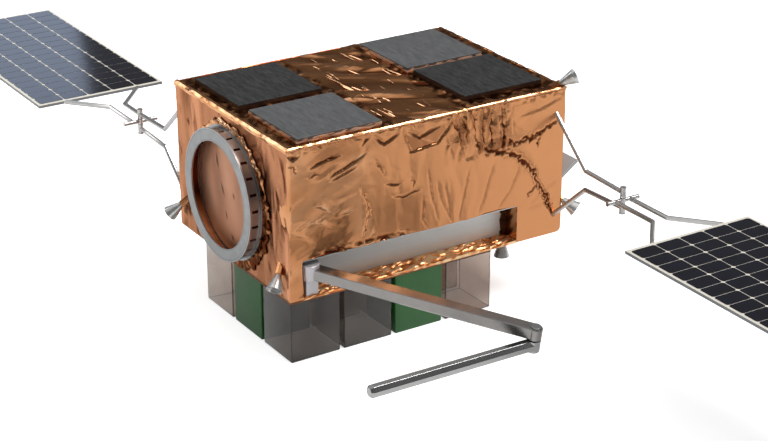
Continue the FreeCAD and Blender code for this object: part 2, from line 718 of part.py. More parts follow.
# ---------------------------------------------------------------- rear antenna
def make_antenna():
    """A flat plate that leans out of the rear face."""
    antenna = body("rear_antenna_solid")
    place(antenna, BUS_X + " + bus_length", BUS_Y + " + antenna_start + antenna_width",
          BUS_Z + " + antenna_foot")
    side = sketch_on(antenna, "XZ_Plane", "antenna_side")
    polygon(side, [("0", "0"), ("antenna_reach", "antenna_rise"),
                   ("antenna_reach - antenna_tip_back", "antenna_rise + antenna_tip_up"),
                   ("0", "antenna_thickness")])
    pad(antenna, side, "antenna_plate", "antenna_width")
    node(antenna, "rear_antenna")


# ---------------------------------------------------------------- build and write
bus_node = make_bus()
make_ring()
make_deck()
make_thrusters(bus_node)
make_boxes()
make_wings()
make_arm()
make_antenna()
doc.recompute()

faults = ["%s: %s" % (obj.Label, obj.State) for obj in doc.Objects
          if "Invalid" in obj.State or "Error" in obj.State]
for obj in nodes:
    if obj.Shape.isNull() or not obj.Shape.isValid():
        faults.append("%s: null or invalid shape" % obj.Label)
if faults:
    raise RuntimeError("; ".join(faults))

os.makedirs("parts", exist_ok=True)
for obj in nodes:
    obj.Shape.exportStep("parts/%s.step" % obj.Label)
    print("%-30s %12.0f mm3  %d solid(s)" % (obj.Label, obj.Shape.Volume, len(obj.Shape.Solids)))
print(len(nodes), "nodes")
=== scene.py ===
"""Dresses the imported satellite: foil blankets, ring, deck plates, boxes, wings, arm and studio."""

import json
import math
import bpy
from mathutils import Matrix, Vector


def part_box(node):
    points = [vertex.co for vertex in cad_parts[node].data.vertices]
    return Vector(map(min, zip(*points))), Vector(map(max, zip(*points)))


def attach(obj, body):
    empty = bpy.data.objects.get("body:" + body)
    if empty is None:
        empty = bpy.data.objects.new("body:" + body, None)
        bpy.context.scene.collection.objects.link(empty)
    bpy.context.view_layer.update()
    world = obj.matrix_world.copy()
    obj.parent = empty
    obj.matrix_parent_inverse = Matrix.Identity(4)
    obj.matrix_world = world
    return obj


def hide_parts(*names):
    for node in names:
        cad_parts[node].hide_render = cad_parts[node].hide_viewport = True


bl_info = {
    "name": "Foil-wrapped satellite",
    "version": (1, 0, 0),
    "blender": (4, 5, 0),
    "location": "View3D > Sidebar > Satellite",
    "description": "Foil blankets, launch ring, deck plates, sample boxes, wings and arm",
    "category": "Object",
}

import bmesh
import bpy
import numpy as np
from mathutils import Vector

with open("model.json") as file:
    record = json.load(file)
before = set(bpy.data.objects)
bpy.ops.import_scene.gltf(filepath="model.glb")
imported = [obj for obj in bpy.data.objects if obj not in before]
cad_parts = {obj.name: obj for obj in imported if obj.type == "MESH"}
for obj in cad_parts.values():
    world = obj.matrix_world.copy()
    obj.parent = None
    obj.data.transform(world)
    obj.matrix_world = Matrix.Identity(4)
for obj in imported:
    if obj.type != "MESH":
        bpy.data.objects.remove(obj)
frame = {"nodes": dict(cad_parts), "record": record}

MM = 0.001
AXES = (Vector((1, 0, 0)), Vector((0, 1, 0)), Vector((0, 0, 1)))
ALONG = ((0, math.pi / 2, 0), (math.pi / 2, 0, 0))  # turns an upright piece to lie along X or Y
BEHAVIOUR = frame["record"]["behaviour"]
BODY_OF = {node: body for body, nodes in BEHAVIOUR["bodies"].items() for node in nodes}
PLATES = sorted(node for node in frame["nodes"] if node.startswith("deck_plate"))
LOW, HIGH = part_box("bus_body")  # the bus's lowest and highest corners
INNER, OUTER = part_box("recess_liner")  # the recess's: from the floor in front to the ceiling behind
COLLAR_LOW, COLLAR_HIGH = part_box("ring_collar")
RING = (COLLAR_LOW + COLLAR_HIGH) / 2  # the ring's middle, on the ring end
RIM = (COLLAR_HIGH.z - COLLAR_LOW.z) / 2  # outer radius of the gathered foil
SEAM = 0.02 * MM  # corners nearer than this are one corner
WANDER = 21 * MM  # a fold strays from its line over about this length
FAR = 9.0  # farther than anything on the part
LATTICE = 64  # a random pattern repeats after this many of its sizes
CUTS = 7  # how often the outer cells of a blanket are cut again
LAID_ON = 1.5 * MM  # how far a blanket's film lies outside the bus


# ---------------------------------------------------------------- selecting and shaping


def clear_selection():
    """Leaves edit mode and deselects everything."""
    if bpy.context.object and bpy.context.object.mode != "OBJECT":
        leave()
    bpy.ops.object.select_all(action="DESELECT")


def leave():
    """Leaves edit mode."""
    bpy.ops.object.mode_set(mode="OBJECT")


def make_active(piece):
    """Selects just this piece."""
    clear_selection()
    piece.select_set(True)
    bpy.context.view_layer.objects.active = piece


def edit(piece, kind="FACE", action="DESELECT"):
    """Opens the piece in edit mode with nothing selected, or all of it."""
    make_active(piece)
    bpy.ops.object.mode_set(mode="EDIT")
    bpy.ops.mesh.select_mode(type=kind)
    bpy.ops.mesh.select_all(action=action)


def select(piece, kind, test):
    """Opens the piece in edit mode and selects the faces or edges that pass the test."""
    edit(piece, kind)
    mesh = bmesh.from_edit_mesh(piece.data)
    for item in mesh.faces if kind == "FACE" else mesh.edges:
        item.select_set(test(item))
    bmesh.update_edit_mesh(piece.data)


def named(name):
    """Names the new piece, with its place and size put into its mesh."""
    piece = bpy.context.object
    piece.name = name
    piece.data.name = name
    bpy.ops.object.transform_apply(location=True, rotation=True, scale=True)
    return piece


def add_block(name, low, high):
    """A block from its lowest corner to its highest one."""
    clear_selection()
    low, high = Vector(low), Vector(high)
    bpy.ops.mesh.primitive_cube_add(size=1, location=(low + high) / 2, scale=high - low)
    return named(name)


def add_cylinder(name, corners, radius, depth, place, turn, **settings):
    """A cylinder with its middle at a place, turned from upright."""
    clear_selection()
    bpy.ops.mesh.primitive_cylinder_add(
        vertices=corners, radius=radius, depth=depth, location=place, rotation=turn, **settings)
    return named(name)


def cut_across(piece, axis, places):
    """Cuts the whole piece by planes square to one axis."""
    edit(piece)
    for place in places:
        bpy.ops.mesh.select_all(action="SELECT")
        bpy.ops.mesh.bisect(plane_co=AXES[axis] * place, plane_no=AXES[axis])
    leave()


def cut_evenly(piece, axis, fixed, spacing):
    """Cuts at the fixed places, and about a spacing apart between them; the two outer ones are ends."""
    places = []
    for start, end in zip(fixed, fixed[1:]):
        count = max(1, round((end - start) / spacing))
        places += [start + (end - start) * step / count for step in range(count)]
    cut_across(piece, axis, places[1:])


def apply_modifier(piece, kind, **settings):
    """Adds one modifier and applies it."""
    make_active(piece)
    modifier = piece.modifiers.new(kind.title(), kind)
    for setting, value in settings.items():
        setattr(modifier, setting, value)
    bpy.ops.object.modifier_apply(modifier=modifier.name)


def bevel_edges(piece, width, segments=2):
    """Rounds every edge that turns by more than 30 degrees."""
    apply_modifier(
        piece, "BEVEL", width=width, segments=segments, limit_method="ANGLE",
        angle_limit=math.radians(30), use_clamp_overlap=True)


def smooth(piece, angle=35):
    """Smooth shading, with edges sharper than the angle kept."""
    make_active(piece)
    bpy.ops.object.shade_smooth_by_angle(angle=math.radians(angle))


def outward(piece):
    """Turns every face of a closed piece outwards."""
    edit(piece, action="SELECT")
    bpy.ops.mesh.normals_make_consistent(inside=False)
    leave()


def corners_of(piece, what="co"):
    """The places of the piece's corners, or their normals, one row each; .T gives the columns to change."""
    rows = np.empty(len(piece.data.vertices) * 3, np.float32)
    piece.data.vertices.foreach_get(what, rows)
    return rows.reshape(-1, 3).astype(float)


def reshape(piece, points, folds=None, angle=None):
    """Puts the corners at new places; stores the folds, the painted shade and highlights, and smooths the
    piece where they are given.
    """
    piece.data.vertices.foreach_set("co", points.astype(np.float32).ravel())
    piece.data.update()
    if folds is not None:
        mark_folds(piece, folds)
    if angle:
        smooth(piece, angle)


def finished(piece, material, body, slot, *nodes):
    """Gives the piece its material and body, and hides the solids that it stands for; the slot is not used.
    """
    piece.data.materials.clear()
    piece.data.materials.append(material)
    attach(piece, body)
    if nodes:
        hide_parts(*nodes)
    return piece


def dressed(node, ending, bevel, material, slot):
    """Stands in for a solid: its triangles merged to whole faces, its edges broken."""
    piece = bpy.data.objects.new(f"{node}_{ending}", frame["nodes"][node].data.copy())
    piece.data.name = piece.name
    bpy.context.scene.collection.objects.link(piece)
    edit(piece, "VERT", "SELECT")
    bpy.ops.mesh.remove_doubles(threshold=SEAM)
    bpy.ops.mesh.dissolve_limited(angle_limit=math.radians(0.6))
    leave()
    bevel_edges(piece, bevel)
    smooth(piece)
    apply_modifier(piece, "WEIGHTED_NORMAL", weight=100, keep_sharp=True)
    return finished(piece, material, BODY_OF[node], slot, node)


# ---------------------------------------------------------------- crumpled foil


def soft_steps(share):
    """Eases a share from 0 to 1."""
    return share * share * (3 - 2 * share)


def lattice(seed):
    """Random heights from -1 to 1."""
    return np.random.RandomState(seed).random_sample((LATTICE, LATTICE)) * 2 - 1


def turned(u, v, degrees, stretch=1):
    """Turned coordinates in which a pattern is stretched along its own direction."""
    cosine, sine = math.cos(math.radians(degrees)), math.sin(math.radians(degrees))
    return (u * cosine + v * sine) / stretch, v * cosine - u * sine


def drift(u, v, size, seed, degrees=0, stretch=1):
    """Smooth random heights from -1 to 1 that change over about a size, turned and stretched."""
    table = lattice(seed)
    u, v = turned(u, v, degrees, stretch)
    column, row = np.floor(u / size), np.floor(v / size)
    across, up = soft_steps(u / size - column), soft_steps(v / size - row)
    column, row = column.astype(int), row.astype(int)

    def line(above):
        here, aside = (table[(column + right) % LATTICE, (row + above) % LATTICE] for right in (0, 1))
        return here * (1 - across) + aside * across

    return line(0) * (1 - up) + line(1) * up


def planes(u, v, size, seed, degrees=0, stretch=1):
    """Random heights from -1 to 1 joined by flat triangles about a size across, turned and stretched."""
    table = lattice(seed)
    flips = np.random.RandomState(seed + 1).random_sample((LATTICE, LATTICE)) < 0.5
    u, v = (place / size for place in turned(u, v, degrees, stretch))
    u, v = u + 0.5 * drift(u, v, 1.6, seed + 2), v + 0.5 * drift(u, v, 1.6, seed + 3)
    column, row = np.floor(u).astype(int), np.floor(v).astype(int)
    across, up = u - column, v - row
    flip = flips[column % LATTICE, row % LATTICE]
    across = np.where(flip, 1 - across, across)
    left, right = (column + flip) % LATTICE, (column + 1 - flip) % LATTICE
    below, top = row % LATTICE, (row + 1) % LATTICE
    here, aside, above, beyond = table[left, below], table[right, below], table[left, top], table[right, top]
    lower = here * (1 - across - up) + aside * across + above * up
    upper = beyond * (across + up - 1) + above * (1 - across) + aside * (1 - up)
    return np.where(across + up < 1, lower, upper)


def within(value, start, end, edge):
    """1 between start and end, 0 outside, eased over an edge."""
    rise, fall = (np.clip(reach / edge + 0.5, 0, 1) for reach in (value - start, end - value))
    return soft_steps(rise) * soft_steps(fall)


def crease(u, v, route, left, right, wander, seed):
    """A wedge along a route, 1 on its line and 0 at its width on either side, run out at its ends."""
    place_u, place_v = (w + wander * planes(u, v, WANDER, seed + more) for w, more in ((u, 0), (v, 5)))
    here, stops = place_u + 1j * place_v, [complex(*stop) for stop in route]
    nearest, side, place = np.full(u.shape, FAR), np.zeros(u.shape), np.zeros(u.shape)
    total = 0
    for start, end in zip(stops, stops[1:]):
        length = abs(end - start)
        away = (here - start) * (end - start).conjugate() / length
        run = np.clip(away.real, 0, length)
        distance = np.abs(away - run)
        closer = distance < nearest
        nearest = np.where(closer, distance, nearest)
        side = np.where(closer, away.imag, side)
        place = np.where(closer, total + run, place)
        total += length
    wedge = np.clip(1 - nearest / np.where(side > 0, left, right), 0, 1)
    ends = np.clip(np.minimum(place, total - place) / min(0.45 * total, 70 * MM) + 0.05, 0, 1)
    return wedge * ends


def patch(u, v, corners, edge):
    """1 inside a convex patch, its corners in order towards growing v, and 0 outside it."""
    reach = np.full(u.shape, FAR)
    for start, end in zip(corners, corners[1:] + corners[:1]):
        across = (end[0] - start[0]) * (v - start[1]) - (end[1] - start[1]) * (u - start[0])
        reach = np.minimum(reach, across / math.dist(start, end))
    return np.clip(reach / edge, 0, 1)


def mark_folds(piece, folds):
    """Stores for each corner its painted shade, below 0, as in a dark crease, or its painted highlight, above
    0, as on a light ridge.
    """
    layer = piece.data.attributes.get("fold") or piece.data.attributes.new("fold", "FLOAT", "POINT")
    layer.data.foreach_set("value", folds.astype(np.float32))


# ---------------------------------------------------------------- materials


def linear(code):
    """A linear colour from an sRGB hex code."""
    parts = [int(code[place:place + 2], 16) / 255 for place in (1, 3, 5)]
    return tuple(p / 12.92 if p <= 0.04045 else ((p + 0.055) / 1.055) ** 2.4 for p in parts) + (1,)


def shaded(code, share):
    """A darker sRGB hex code."""
    return "#" + "".join(f"{int(int(code[place:place + 2], 16) * share):02X}" for place in (1, 3, 5))


def add_node(tree, kind, inputs=None, **settings):
    """Adds one node with its settings; an input is a number, a colour or another node's socket."""
    node = tree.nodes.new(kind)
    for setting, value in settings.items():
        setattr(node, setting, value)
    for name, value in (inputs or {}).items():
        if isinstance(value, bpy.types.NodeSocket):
            tree.links.new(value, node.inputs[name])
        else:
            node.inputs[name].default_value = value
    return node


def new_material(name, **shader_values):
    """A material with its shader's plain values set, and its tree."""
    material = bpy.data.materials.new(name)
    material.use_nodes = True
    for value_name, value in shader_values.items():
        shader_input(material.node_tree, value_name.replace("_", " ")).default_value = value
    return material, material.node_tree


def shader_input(tree, name):
    """One of the shader's inputs."""
    return tree.nodes["Principled BSDF"].inputs[name]


def place_on_piece(tree, scale=(1, 1, 1), centre=(0, 0, 0), turn=0):
    """Object coordinates, centred, scaled and turned about Z in degrees."""
    place = add_node(tree, "ShaderNodeTexCoord").outputs["Object"]
    return add_node(
        tree, "ShaderNodeMapping",
        {"Vector": place, "Location": [-c * s for c, s in zip(centre, scale)],
         "Rotation": (0, 0, math.radians(turn)), "Scale": scale},
    ).outputs["Vector"]


def split(tree, vector):
    """The X, Y and Z of a vector."""
    return add_node(tree, "ShaderNodeSeparateXYZ", {"Vector": vector}).outputs


def maths(tree, operation, *values):
    """One step of arithmetic."""
    return add_node(tree, "ShaderNodeMath", dict(enumerate(values)), operation=operation).outputs[0]


def mix(tree, share, one, other, blend="MIX"):
    """Two colours mixed."""
    return add_node(
        tree, "ShaderNodeMix", {0: share, 6: one, 7: other}, data_type="RGBA", blend_type=blend).outputs[2]


def noise(tree, place, size, detail=2.0, roughness=0.5):
    """Noise whose features are about a size across, in metres."""
    return add_node(
        tree, "ShaderNodeTexNoise",
        {"Vector": place, "Scale": 1 / size, "Detail": detail, "Roughness": roughness},
    ).outputs["Fac"]


def ramp(tree, factor, *stops):
    """Colours or greys at places from 0 to 1."""
    node = add_node(tree, "ShaderNodeValToRGB", {"Fac": factor})
    elements = node.color_ramp.elements
    while len(elements) < len(stops):
        elements.new(0.5)
    for element, (place, colour) in zip(elements, stops):
        element.position = place
        element.color = linear(colour) if isinstance(colour, str) else (colour, colour, colour, 1)
    return node.outputs["Color"]


def link(tree, source, name):
    """Links a socket to one of the shader's inputs."""
    tree.links.new(source, shader_input(tree, name))


def vary(tree, name, factor, low, high):
    """Varies one of the shader's inputs between two colours or greys."""
    link(tree, ramp(tree, factor, (0.3, low), (0.7, high)), name)


def bump(tree, height, depth, strength=0.3):
    """Raises the surface by a depth in millimetres where the height is 1."""
    inputs = {"Height": height, "Distance": depth * MM, "Strength": strength}
    link(tree, add_node(tree, "ShaderNodeBump", inputs).outputs["Normal"], "Normal")


def foil_material(name, crease_shade_tone, tone, ridge_highlight_tone, roughness, metallic=1.0):
    """Copper-coated polyimide film, crumpled by hand: a warm mirror, with painted shade in its creases and
    painted highlights on its ridges, read from the fold attribute.
    """
    material, tree = new_material(name, Metallic=metallic, Specular_Tint=(0.94, 0.76, 0.62, 1))
    place = place_on_piece(tree)
    fold = add_node(tree, "ShaderNodeAttribute", attribute_name="fold").outputs["Fac"]
    share = add_node(tree, "ShaderNodeMapRange", {"Value": fold, "From Min": -1.0}).outputs["Result"]
    link(tree, ramp(tree, share, (0.0, crease_shade_tone), (0.5, tone), (1.0, ridge_highlight_tone)), "Base Color")
    vary(tree, "Roughness", noise(tree, place, 0.15), roughness * 0.8, roughness * 1.25)
    bump(tree, noise(tree, place, 0.03, 3), 0.8, 0.25)
    return material


def foil():
    """The blankets' material, made once."""
    name = "copper_coated_film"
    if name not in bpy.data.materials:
        values = bpy.context.scene.satellite_foil
        foil_material(name, values.crease_shade_tone, values.tone, values.ridge_highlight_tone, values.roughness)
    return bpy.data.materials[name]


def metal_material(name, tone, roughness, grain=(1, 1, 1), size=0.004, depth=0.02, metallic=1.0, even=0.88):
    """Bare metal with a fine grain, stretched along the way that it was drawn, rolled or brushed."""
    material, tree = new_material(name, Metallic=metallic)
    lines = noise(tree, place_on_piece(tree, grain), size, 3, 0.6)
    vary(tree, "Base Color", lines, shaded(tone, even), tone)
    vary(tree, "Roughness", lines, roughness * even, roughness)
    if depth:
        bump(tree, lines, depth, 0.4)
    return material


# ---------------------------------------------------------------- settings


def hex_colour(name, description, default):
    """A setting that holds a colour as an sRGB hex code."""
    return bpy.props.StringProperty(name=name, description=description, default=default)


def number(name, description, default, unit="NONE"):
    """A setting that holds a number, a length in metres or an angle."""
    return bpy.props.FloatProperty(name=name, description=description, default=default, unit=unit)


class FoilSettings(bpy.types.PropertyGroup):
    """The foil blankets that wrap the bus."""

    tone: hex_colour("Foil tone", "Colour of the copper-coated film", "#CF9062")
    # the crease tone is painted shade in the creases, the ridge tone painted highlight on the ridges
    crease_shade_tone: hex_colour("Crease tone", "Colour deep in a crease", "#572713")
    ridge_highlight_tone: hex_colour("Ridge tone", "Colour on a stretched ridge", "#F0BC92")
    roughness: number("Haze", "Roughness of the film", 0.19)
    cell: number("Cell", "Spacing of the mesh on the arm side", 6.4 * MM, "LENGTH")
    corner: number("Corner", "Radius at which the film turns a corner", 18 * MM, "LENGTH")
    hem: number("Hem", "Radius of the rolled hem along the top edges", 9 * MM, "LENGTH")


class RingSettings(bpy.types.PropertyGroup):
    """The launch ring and the foil gathered round it."""

    metal: hex_colour("Ring metal", "Colour of the turned aluminium", "#999B9C")
    edge: number("Broken edge", "Width of the broken edges", 1.6 * MM, "LENGTH")
    gathers: bpy.props.IntProperty(name="Gathers", description="Folds in the foil round the ring", default=46)


class BoxSettings(bpy.types.PropertyGroup):
    """The sample boxes under the bus."""

    clear: hex_colour("Clear box", "Colour of the smoky acrylic", "#E8DED6")
    green: hex_colour("Green box", "Colour of the green boxes", "#246628")
    corner: number("Corner", "Radius of a box's corners", 7 * MM, "LENGTH")
    wall: number("Wall", "Thickness of a box's wall", 6 * MM, "LENGTH")


class StageSettings(bpy.types.PropertyGroup):
    """The camera, the floor and the lamps."""

    place: bpy.props.FloatVectorProperty(
        name="Camera", description="Where the camera stands", default=(-7.0095, -11.2337, 6.3153),
        subtype="TRANSLATION", unit="LENGTH")
    tilt: number("Tilt", "Camera angle from straight down", math.radians(66.299), "ROTATION")
    turn: number("Turn", "Camera turn to its right", math.radians(32.393), "ROTATION")
    lens: number("Lens", "Focal length in millimetres", 94.3)
    floor: hex_colour("Floor", "Colour of the floor", "#F2F2F2")
    glow: number("Glow", "The floor's own light where the camera sees it", 0.68)
    sheen: number("Sheen", "The floor's own light in reflections", 0.2)
    through: number("Through", "The floor's own light seen through the boxes", 0.03)
    key: number("Key", "Strength of the main lamp", 1.6)


# ---------------------------------------------------------------- foil blankets

# Folds of the arm-side blanket. Columns: depth and the width on either side in millimetres, how much
# painted shade the line gets, or painted highlight below 0, wander in millimetres, then the route as
# thousandths of the side from the ring end and down from the top edge.
ARM_SIDE_FOLDS = (
    # the jagged split from the upper yoke foot to the knot, and its spur; its dark colour is a painted
    # reflection of the yoke struts
    (6, 20, 24, 1.5, 22, ((978, 190), (934, 235), (905, 275), (860, 290), (815, 300), (765, 260))),
    (5, 14, 14, 1.3, 12, ((906, 270), (897, 320), (890, 385))),
    # the jagged split from the knot to the lower yoke foot; its dark colour is a painted reflection of the
    # yoke struts
    (6, 24, 22, 1.5, 24, ((676, 325), (718, 300), (763, 346), (801, 364), (836, 434),
                           (871, 484), (895, 597), (916, 647), (934, 730), (966, 860))),
    (5, 13, 13, 1.3, 12, ((905, 600), (880, 650), (852, 710))),
    # the crumpled uprights under the top edge
    (13, 14, 9, 0.7, 10, ((655, 30), (660, 140), (676, 330))),
    (12, 10, 16, 0.5, 10, ((692, 30), (688, 180), (700, 300))),
    (14, 12, 10, 0.6, 9, ((722, 20), (716, 160), (728, 310))),
    (15, 9, 18, 0.9, 9, ((757, 20), (764, 180), (762, 360))),
    # the folded flap under the top edge, and its notch
    (12, 12, 9, 0.6, 5, ((395, 40), (430, 195), (520, 170), (555, 105), (575, 30))),
    (10, 12, 20, 0.6, 4, ((415, 50), (458, 115), (530, 60))),
    (12, 14, 14, 1.1, 3, ((293, 35), (334, 104), (388, 45))),
    (9, 10, 22, 0.6, 8, ((570, 50), (600, 130), (612, 270))),
    (9, 10, 18, 0.6, 8, ((600, 40), (628, 130), (630, 240))),
    # short nicks and the curved fold in the middle
    (9, 12, 12, 0.8, 5, ((300, 190), (318, 250), (338, 310))),
    (8, 14, 9, 0.9, 4, ((330, 355), (375, 385), (402, 370))),
    (8, 10, 14, 0.7, 4, ((430, 440), (442, 390), (425, 360))),
    (6, 8, 20, 0.5, 5, ((355, 455), (400, 478), (470, 450))),
    (5, 24, 10, 0.35, 6, ((475, 500), (470, 660), (500, 740))),
    (8, 16, 12, 0.5, 14, ((249, 344), (281, 510), (259, 692))),
    (6, 8, 10, -1.0, 3, ((300, 630), (292, 670), (281, 710))),
    (6, 10, 20, 0.3, 5, ((520, 420), (535, 560), (580, 740))),
    (5, 20, 8, 0.3, 5, ((490, 330), (500, 500), (530, 700))),
    # short folds at the ring end, the last four of them with painted highlights
    (9, 10, 22, 1.1, 4, ((73, 150), (128, 124), (187, 105))),
    (10, 9, 28, 1.3, 4, ((134, 236), (196, 200), (250, 150))),
    (9, 8, 14, 1.0, 3, ((140, 262), (190, 235), (235, 200))),
    (10, 12, 14, 1.2, 5, ((250, 85), (268, 55), (286, 35))),
    (5, 10, 12, 0.6, 6, ((62, 205), (92, 190), (115, 195))),
    (6, 12, 14, -0.8, 4, ((230, 165), (254, 145), (275, 125))),
    (4, 14, 40, -0.4, 7, ((81, 385), (116, 415), (155, 470))),
    (4, 12, 30, -0.4, 7, ((163, 505), (201, 485), (238, 465))),
    (4, 12, 28, -0.4, 6, ((44, 497), (101, 505), (153, 570))),
    (4, 12, 30, -0.2, 6, ((4, 537), (48, 579), (90, 670))),
    (6, 10, 12, 0.9, 5, ((20, 985), (55, 955), (75, 990))),
    (12, 22, 22, 1.4, 9, ((2, 35), (20, 65), (38, 35))),
    (10, 16, 14, 1.3, 8, ((4, 95), (22, 115), (30, 160))),
    # the fan from the knot down to the recess
    (5, 12, 26, 0.35, 5, ((735, 380), (705, 560), (672, 760))),
    (4, 20, 10, 0.25, 5, ((640, 380), (620, 580), (600, 760))),
    (4, 10, 20, 0.35, 5, ((545, 430), (560, 560), (578, 740))),
    (4, 10, 30, 0.35, 5, ((838, 450), (800, 600), (745, 740))),
    (3, 40, 12, 0.1, 5, ((860, 760), (920, 680), (985, 600))),
    (3, 40, 12, 0.1, 5, ((850, 780), (920, 760), (985, 740))),
    (3, 30, 12, 0.15, 5, ((820, 120), (900, 100), (985, 50))),
)

# Patches of painted shade: facets painted darker. Columns: how dark, how wide their edge is in
# millimetres, then the corners as in the folds, each convex, clockwise.
ARM_SIDE_PATCHES = (
    (0.20, 45, ((290, 500), (361, 467), (450, 442), (458, 745), (300, 755))),
    (0.15, 30, ((430, 468), (470, 460), (502, 745), (430, 745))),
    (0.40, 8, ((403, 60), (455, 110), (520, 165), (432, 190))),
    (0.30, 8, ((455, 110), (540, 60), (555, 100), (520, 165))),
    (0.35, 10, ((575, 40), (625, 35), (640, 230), (612, 260))),
    (0.40, 8, ((668, 60), (700, 50), (694, 300), (672, 320))),
    (0.50, 8, ((700, 240), (770, 225), (800, 310), (700, 330))),
)


# Corners of the bus's profile where the film is drawn tight. Columns: side along X, side along Z, radius
# in millimetres.
TIGHT_CORNERS = ((1, -1, 66), (-1, -1, 26), (-1, 1, 18))

# The other blankets. Columns: name, axis, side of the bus, thickness and spacing in millimetres, seed,
# then the direction of the folds in degrees and how far they are stretched.
BLANKETS = (
    ("foil_far_side", 1, 1, 30, 13, 11, 25, 3.5),
    ("foil_ring_end", 0, -1, 30, 8.5, 12, 86, 4.5),
    ("foil_rear_end", 0, 1, 30, 12, 13, 80, 3.0),
    ("foil_deck", 2, 1, 30, 6.5, 14, -36, 3.0),
    ("foil_keel", 2, -1, 9, 24, 15, 20, 2.0),
)


def others(axis):
    """The two other axes."""
    return [other for other in range(3) if other != axis]


def slab_on(name, axis, sign, thickness, spacing, fixed=None):
    """A slab inside one side of the bus, cut into cells, and where its outer face is."""
    low, high = LOW.copy(), HIGH.copy()
    for other in others(axis):
        low[other] += 4 * MM
        high[other] -= 4 * MM
    if sign > 0:
        low[axis] = high[axis] - thickness
    else:
        high[axis] = low[axis] + thickness
    piece = add_block(name, low, high)
    for other in others(axis):
        places = [low[other], *(fixed or {}).get(other, ()), high[other]]
        cut_evenly(piece, other, places, spacing * (CUTS + 1))
    return piece, (high if sign > 0 else low)[axis]


def cut_again(piece, test):
    """Cuts the chosen faces finely; their neighbours keep their size."""
    select(piece, "FACE", test)
    bpy.ops.mesh.subdivide(number_cuts=CUTS)
    leave()


def turn_corner(points, axis, radius):
    """How far the film falls back where it turns the bus's corners."""
    reach = np.full(len(points), FAR)
    for other in others(axis):
        reach = np.minimum(reach, points[:, other] - LOW[other])
        reach = np.minimum(reach, HIGH[other] - points[:, other])
    short = np.clip(radius - reach, 0, radius)
    return radius - np.sqrt(np.maximum(radius ** 2 - short ** 2, 0))


def draw_tight(points):
    """Pulls the film in round the tight corners of the bus's profile."""
    x, _, z = points.T
    for right, above, radius in TIGHT_CORNERS:
        radius *= MM
        centre_x = (HIGH.x if right > 0 else LOW.x) - right * radius
        centre_z = (HIGH.z if above > 0 else LOW.z) - above * radius
        out_x, out_z = x - centre_x, z - centre_z
        reach = np.hypot(out_x, out_z)
        outside = (right * out_x > 0) & (above * out_z > 0) & (reach > radius)
        x[outside] = centre_x + (out_x * radius / reach)[outside]
        z[outside] = centre_z + (out_z * radius / reach)[outside]


def arm_side_folds(points):
    """Heights of the arm-side blanket's folds and crumples, and the painted shade or highlight of each place.
    """
    length, height = HIGH.x - LOW.x, HIGH.z - LOW.z
    x, y, z = points.T
    # round a corner of the bus the pattern runs on along Y
    u, v = x - LOW.x + 0.8 * (y - LOW.y), HIGH.z - z + 0.8 * (y - LOW.y)
    share, down = u / length, v / height
    left = within(share, -1, 0.28, 0.12)
    knot = within(share, 0.56, 0.79, 0.05) * within(down, -1, 0.33, 0.08)
    edge = within(down, 0.70, 0.76, 0.03) * within(share, 0.10, 0.42, 0.06)
    tangle = planes(u, v, 0.032, 7, 80, 2.0)
    crumple = planes(u, v, 0.022, 9, 15, 1.6)
    total = 5 * drift(u, v, 0.42, 3) + 2 * drift(u, v, 0.16, 4) + 0.5 * planes(u, v, 0.045, 11)
    total += 6 * drift(u, -v, 0.07, 5, 22, 2.6) * left
    total += 1.3 * planes(u, -v, 0.055, 12, 22, 3.0) * left
    total += 2.5 * planes(u, v, 0.05, 6, 88, 3.5) * within(share, 0.26, 0.7, 0.12)
    total += 3 * planes(u, v, 0.025, 10, 70, 1.6) * within(down, -1, 0.04, 0.04)
    total += 9 * tangle * knot + 8 * crumple * edge
    # the tone is painted light and shade: light and dark strokes at the ring end, painted highlights and
    # shade on the crumples along the recess's edge, painted shade in the knot
    tone = 0.3 * drift(u, -v, 0.075, 5, 24, 4) * left
    tone += edge * (1.3 * crumple - 0.2) - 0.5 * knot * np.clip(tangle, 0, 1)

    def places(route):
        return [(length * (along / 1000), height * (under / 1000)) for along, under in route]

    for row, (depth, one, other, dark, wander, route) in enumerate(ARM_SIDE_FOLDS):
        wedge = crease(u, v, places(route), one * MM, other * MM, wander * MM, 40 + row)
        total -= depth * wedge
        # painted shade along each crease, a painted highlight where its darkness is below 0
        tone -= 1.5 * dark * np.clip(wedge - 0.25, 0, 1)
    u, v = u + 10 * MM * planes(u, v, 0.05, 31), v + 10 * MM * planes(u, v, 0.05, 33)
    for dark, width, corners in ARM_SIDE_PATCHES:
        # painted shade over the patches
        tone -= dark * patch(u, v, places(corners), width * MM)
    return total * MM, np.clip(tone, -1, 1)


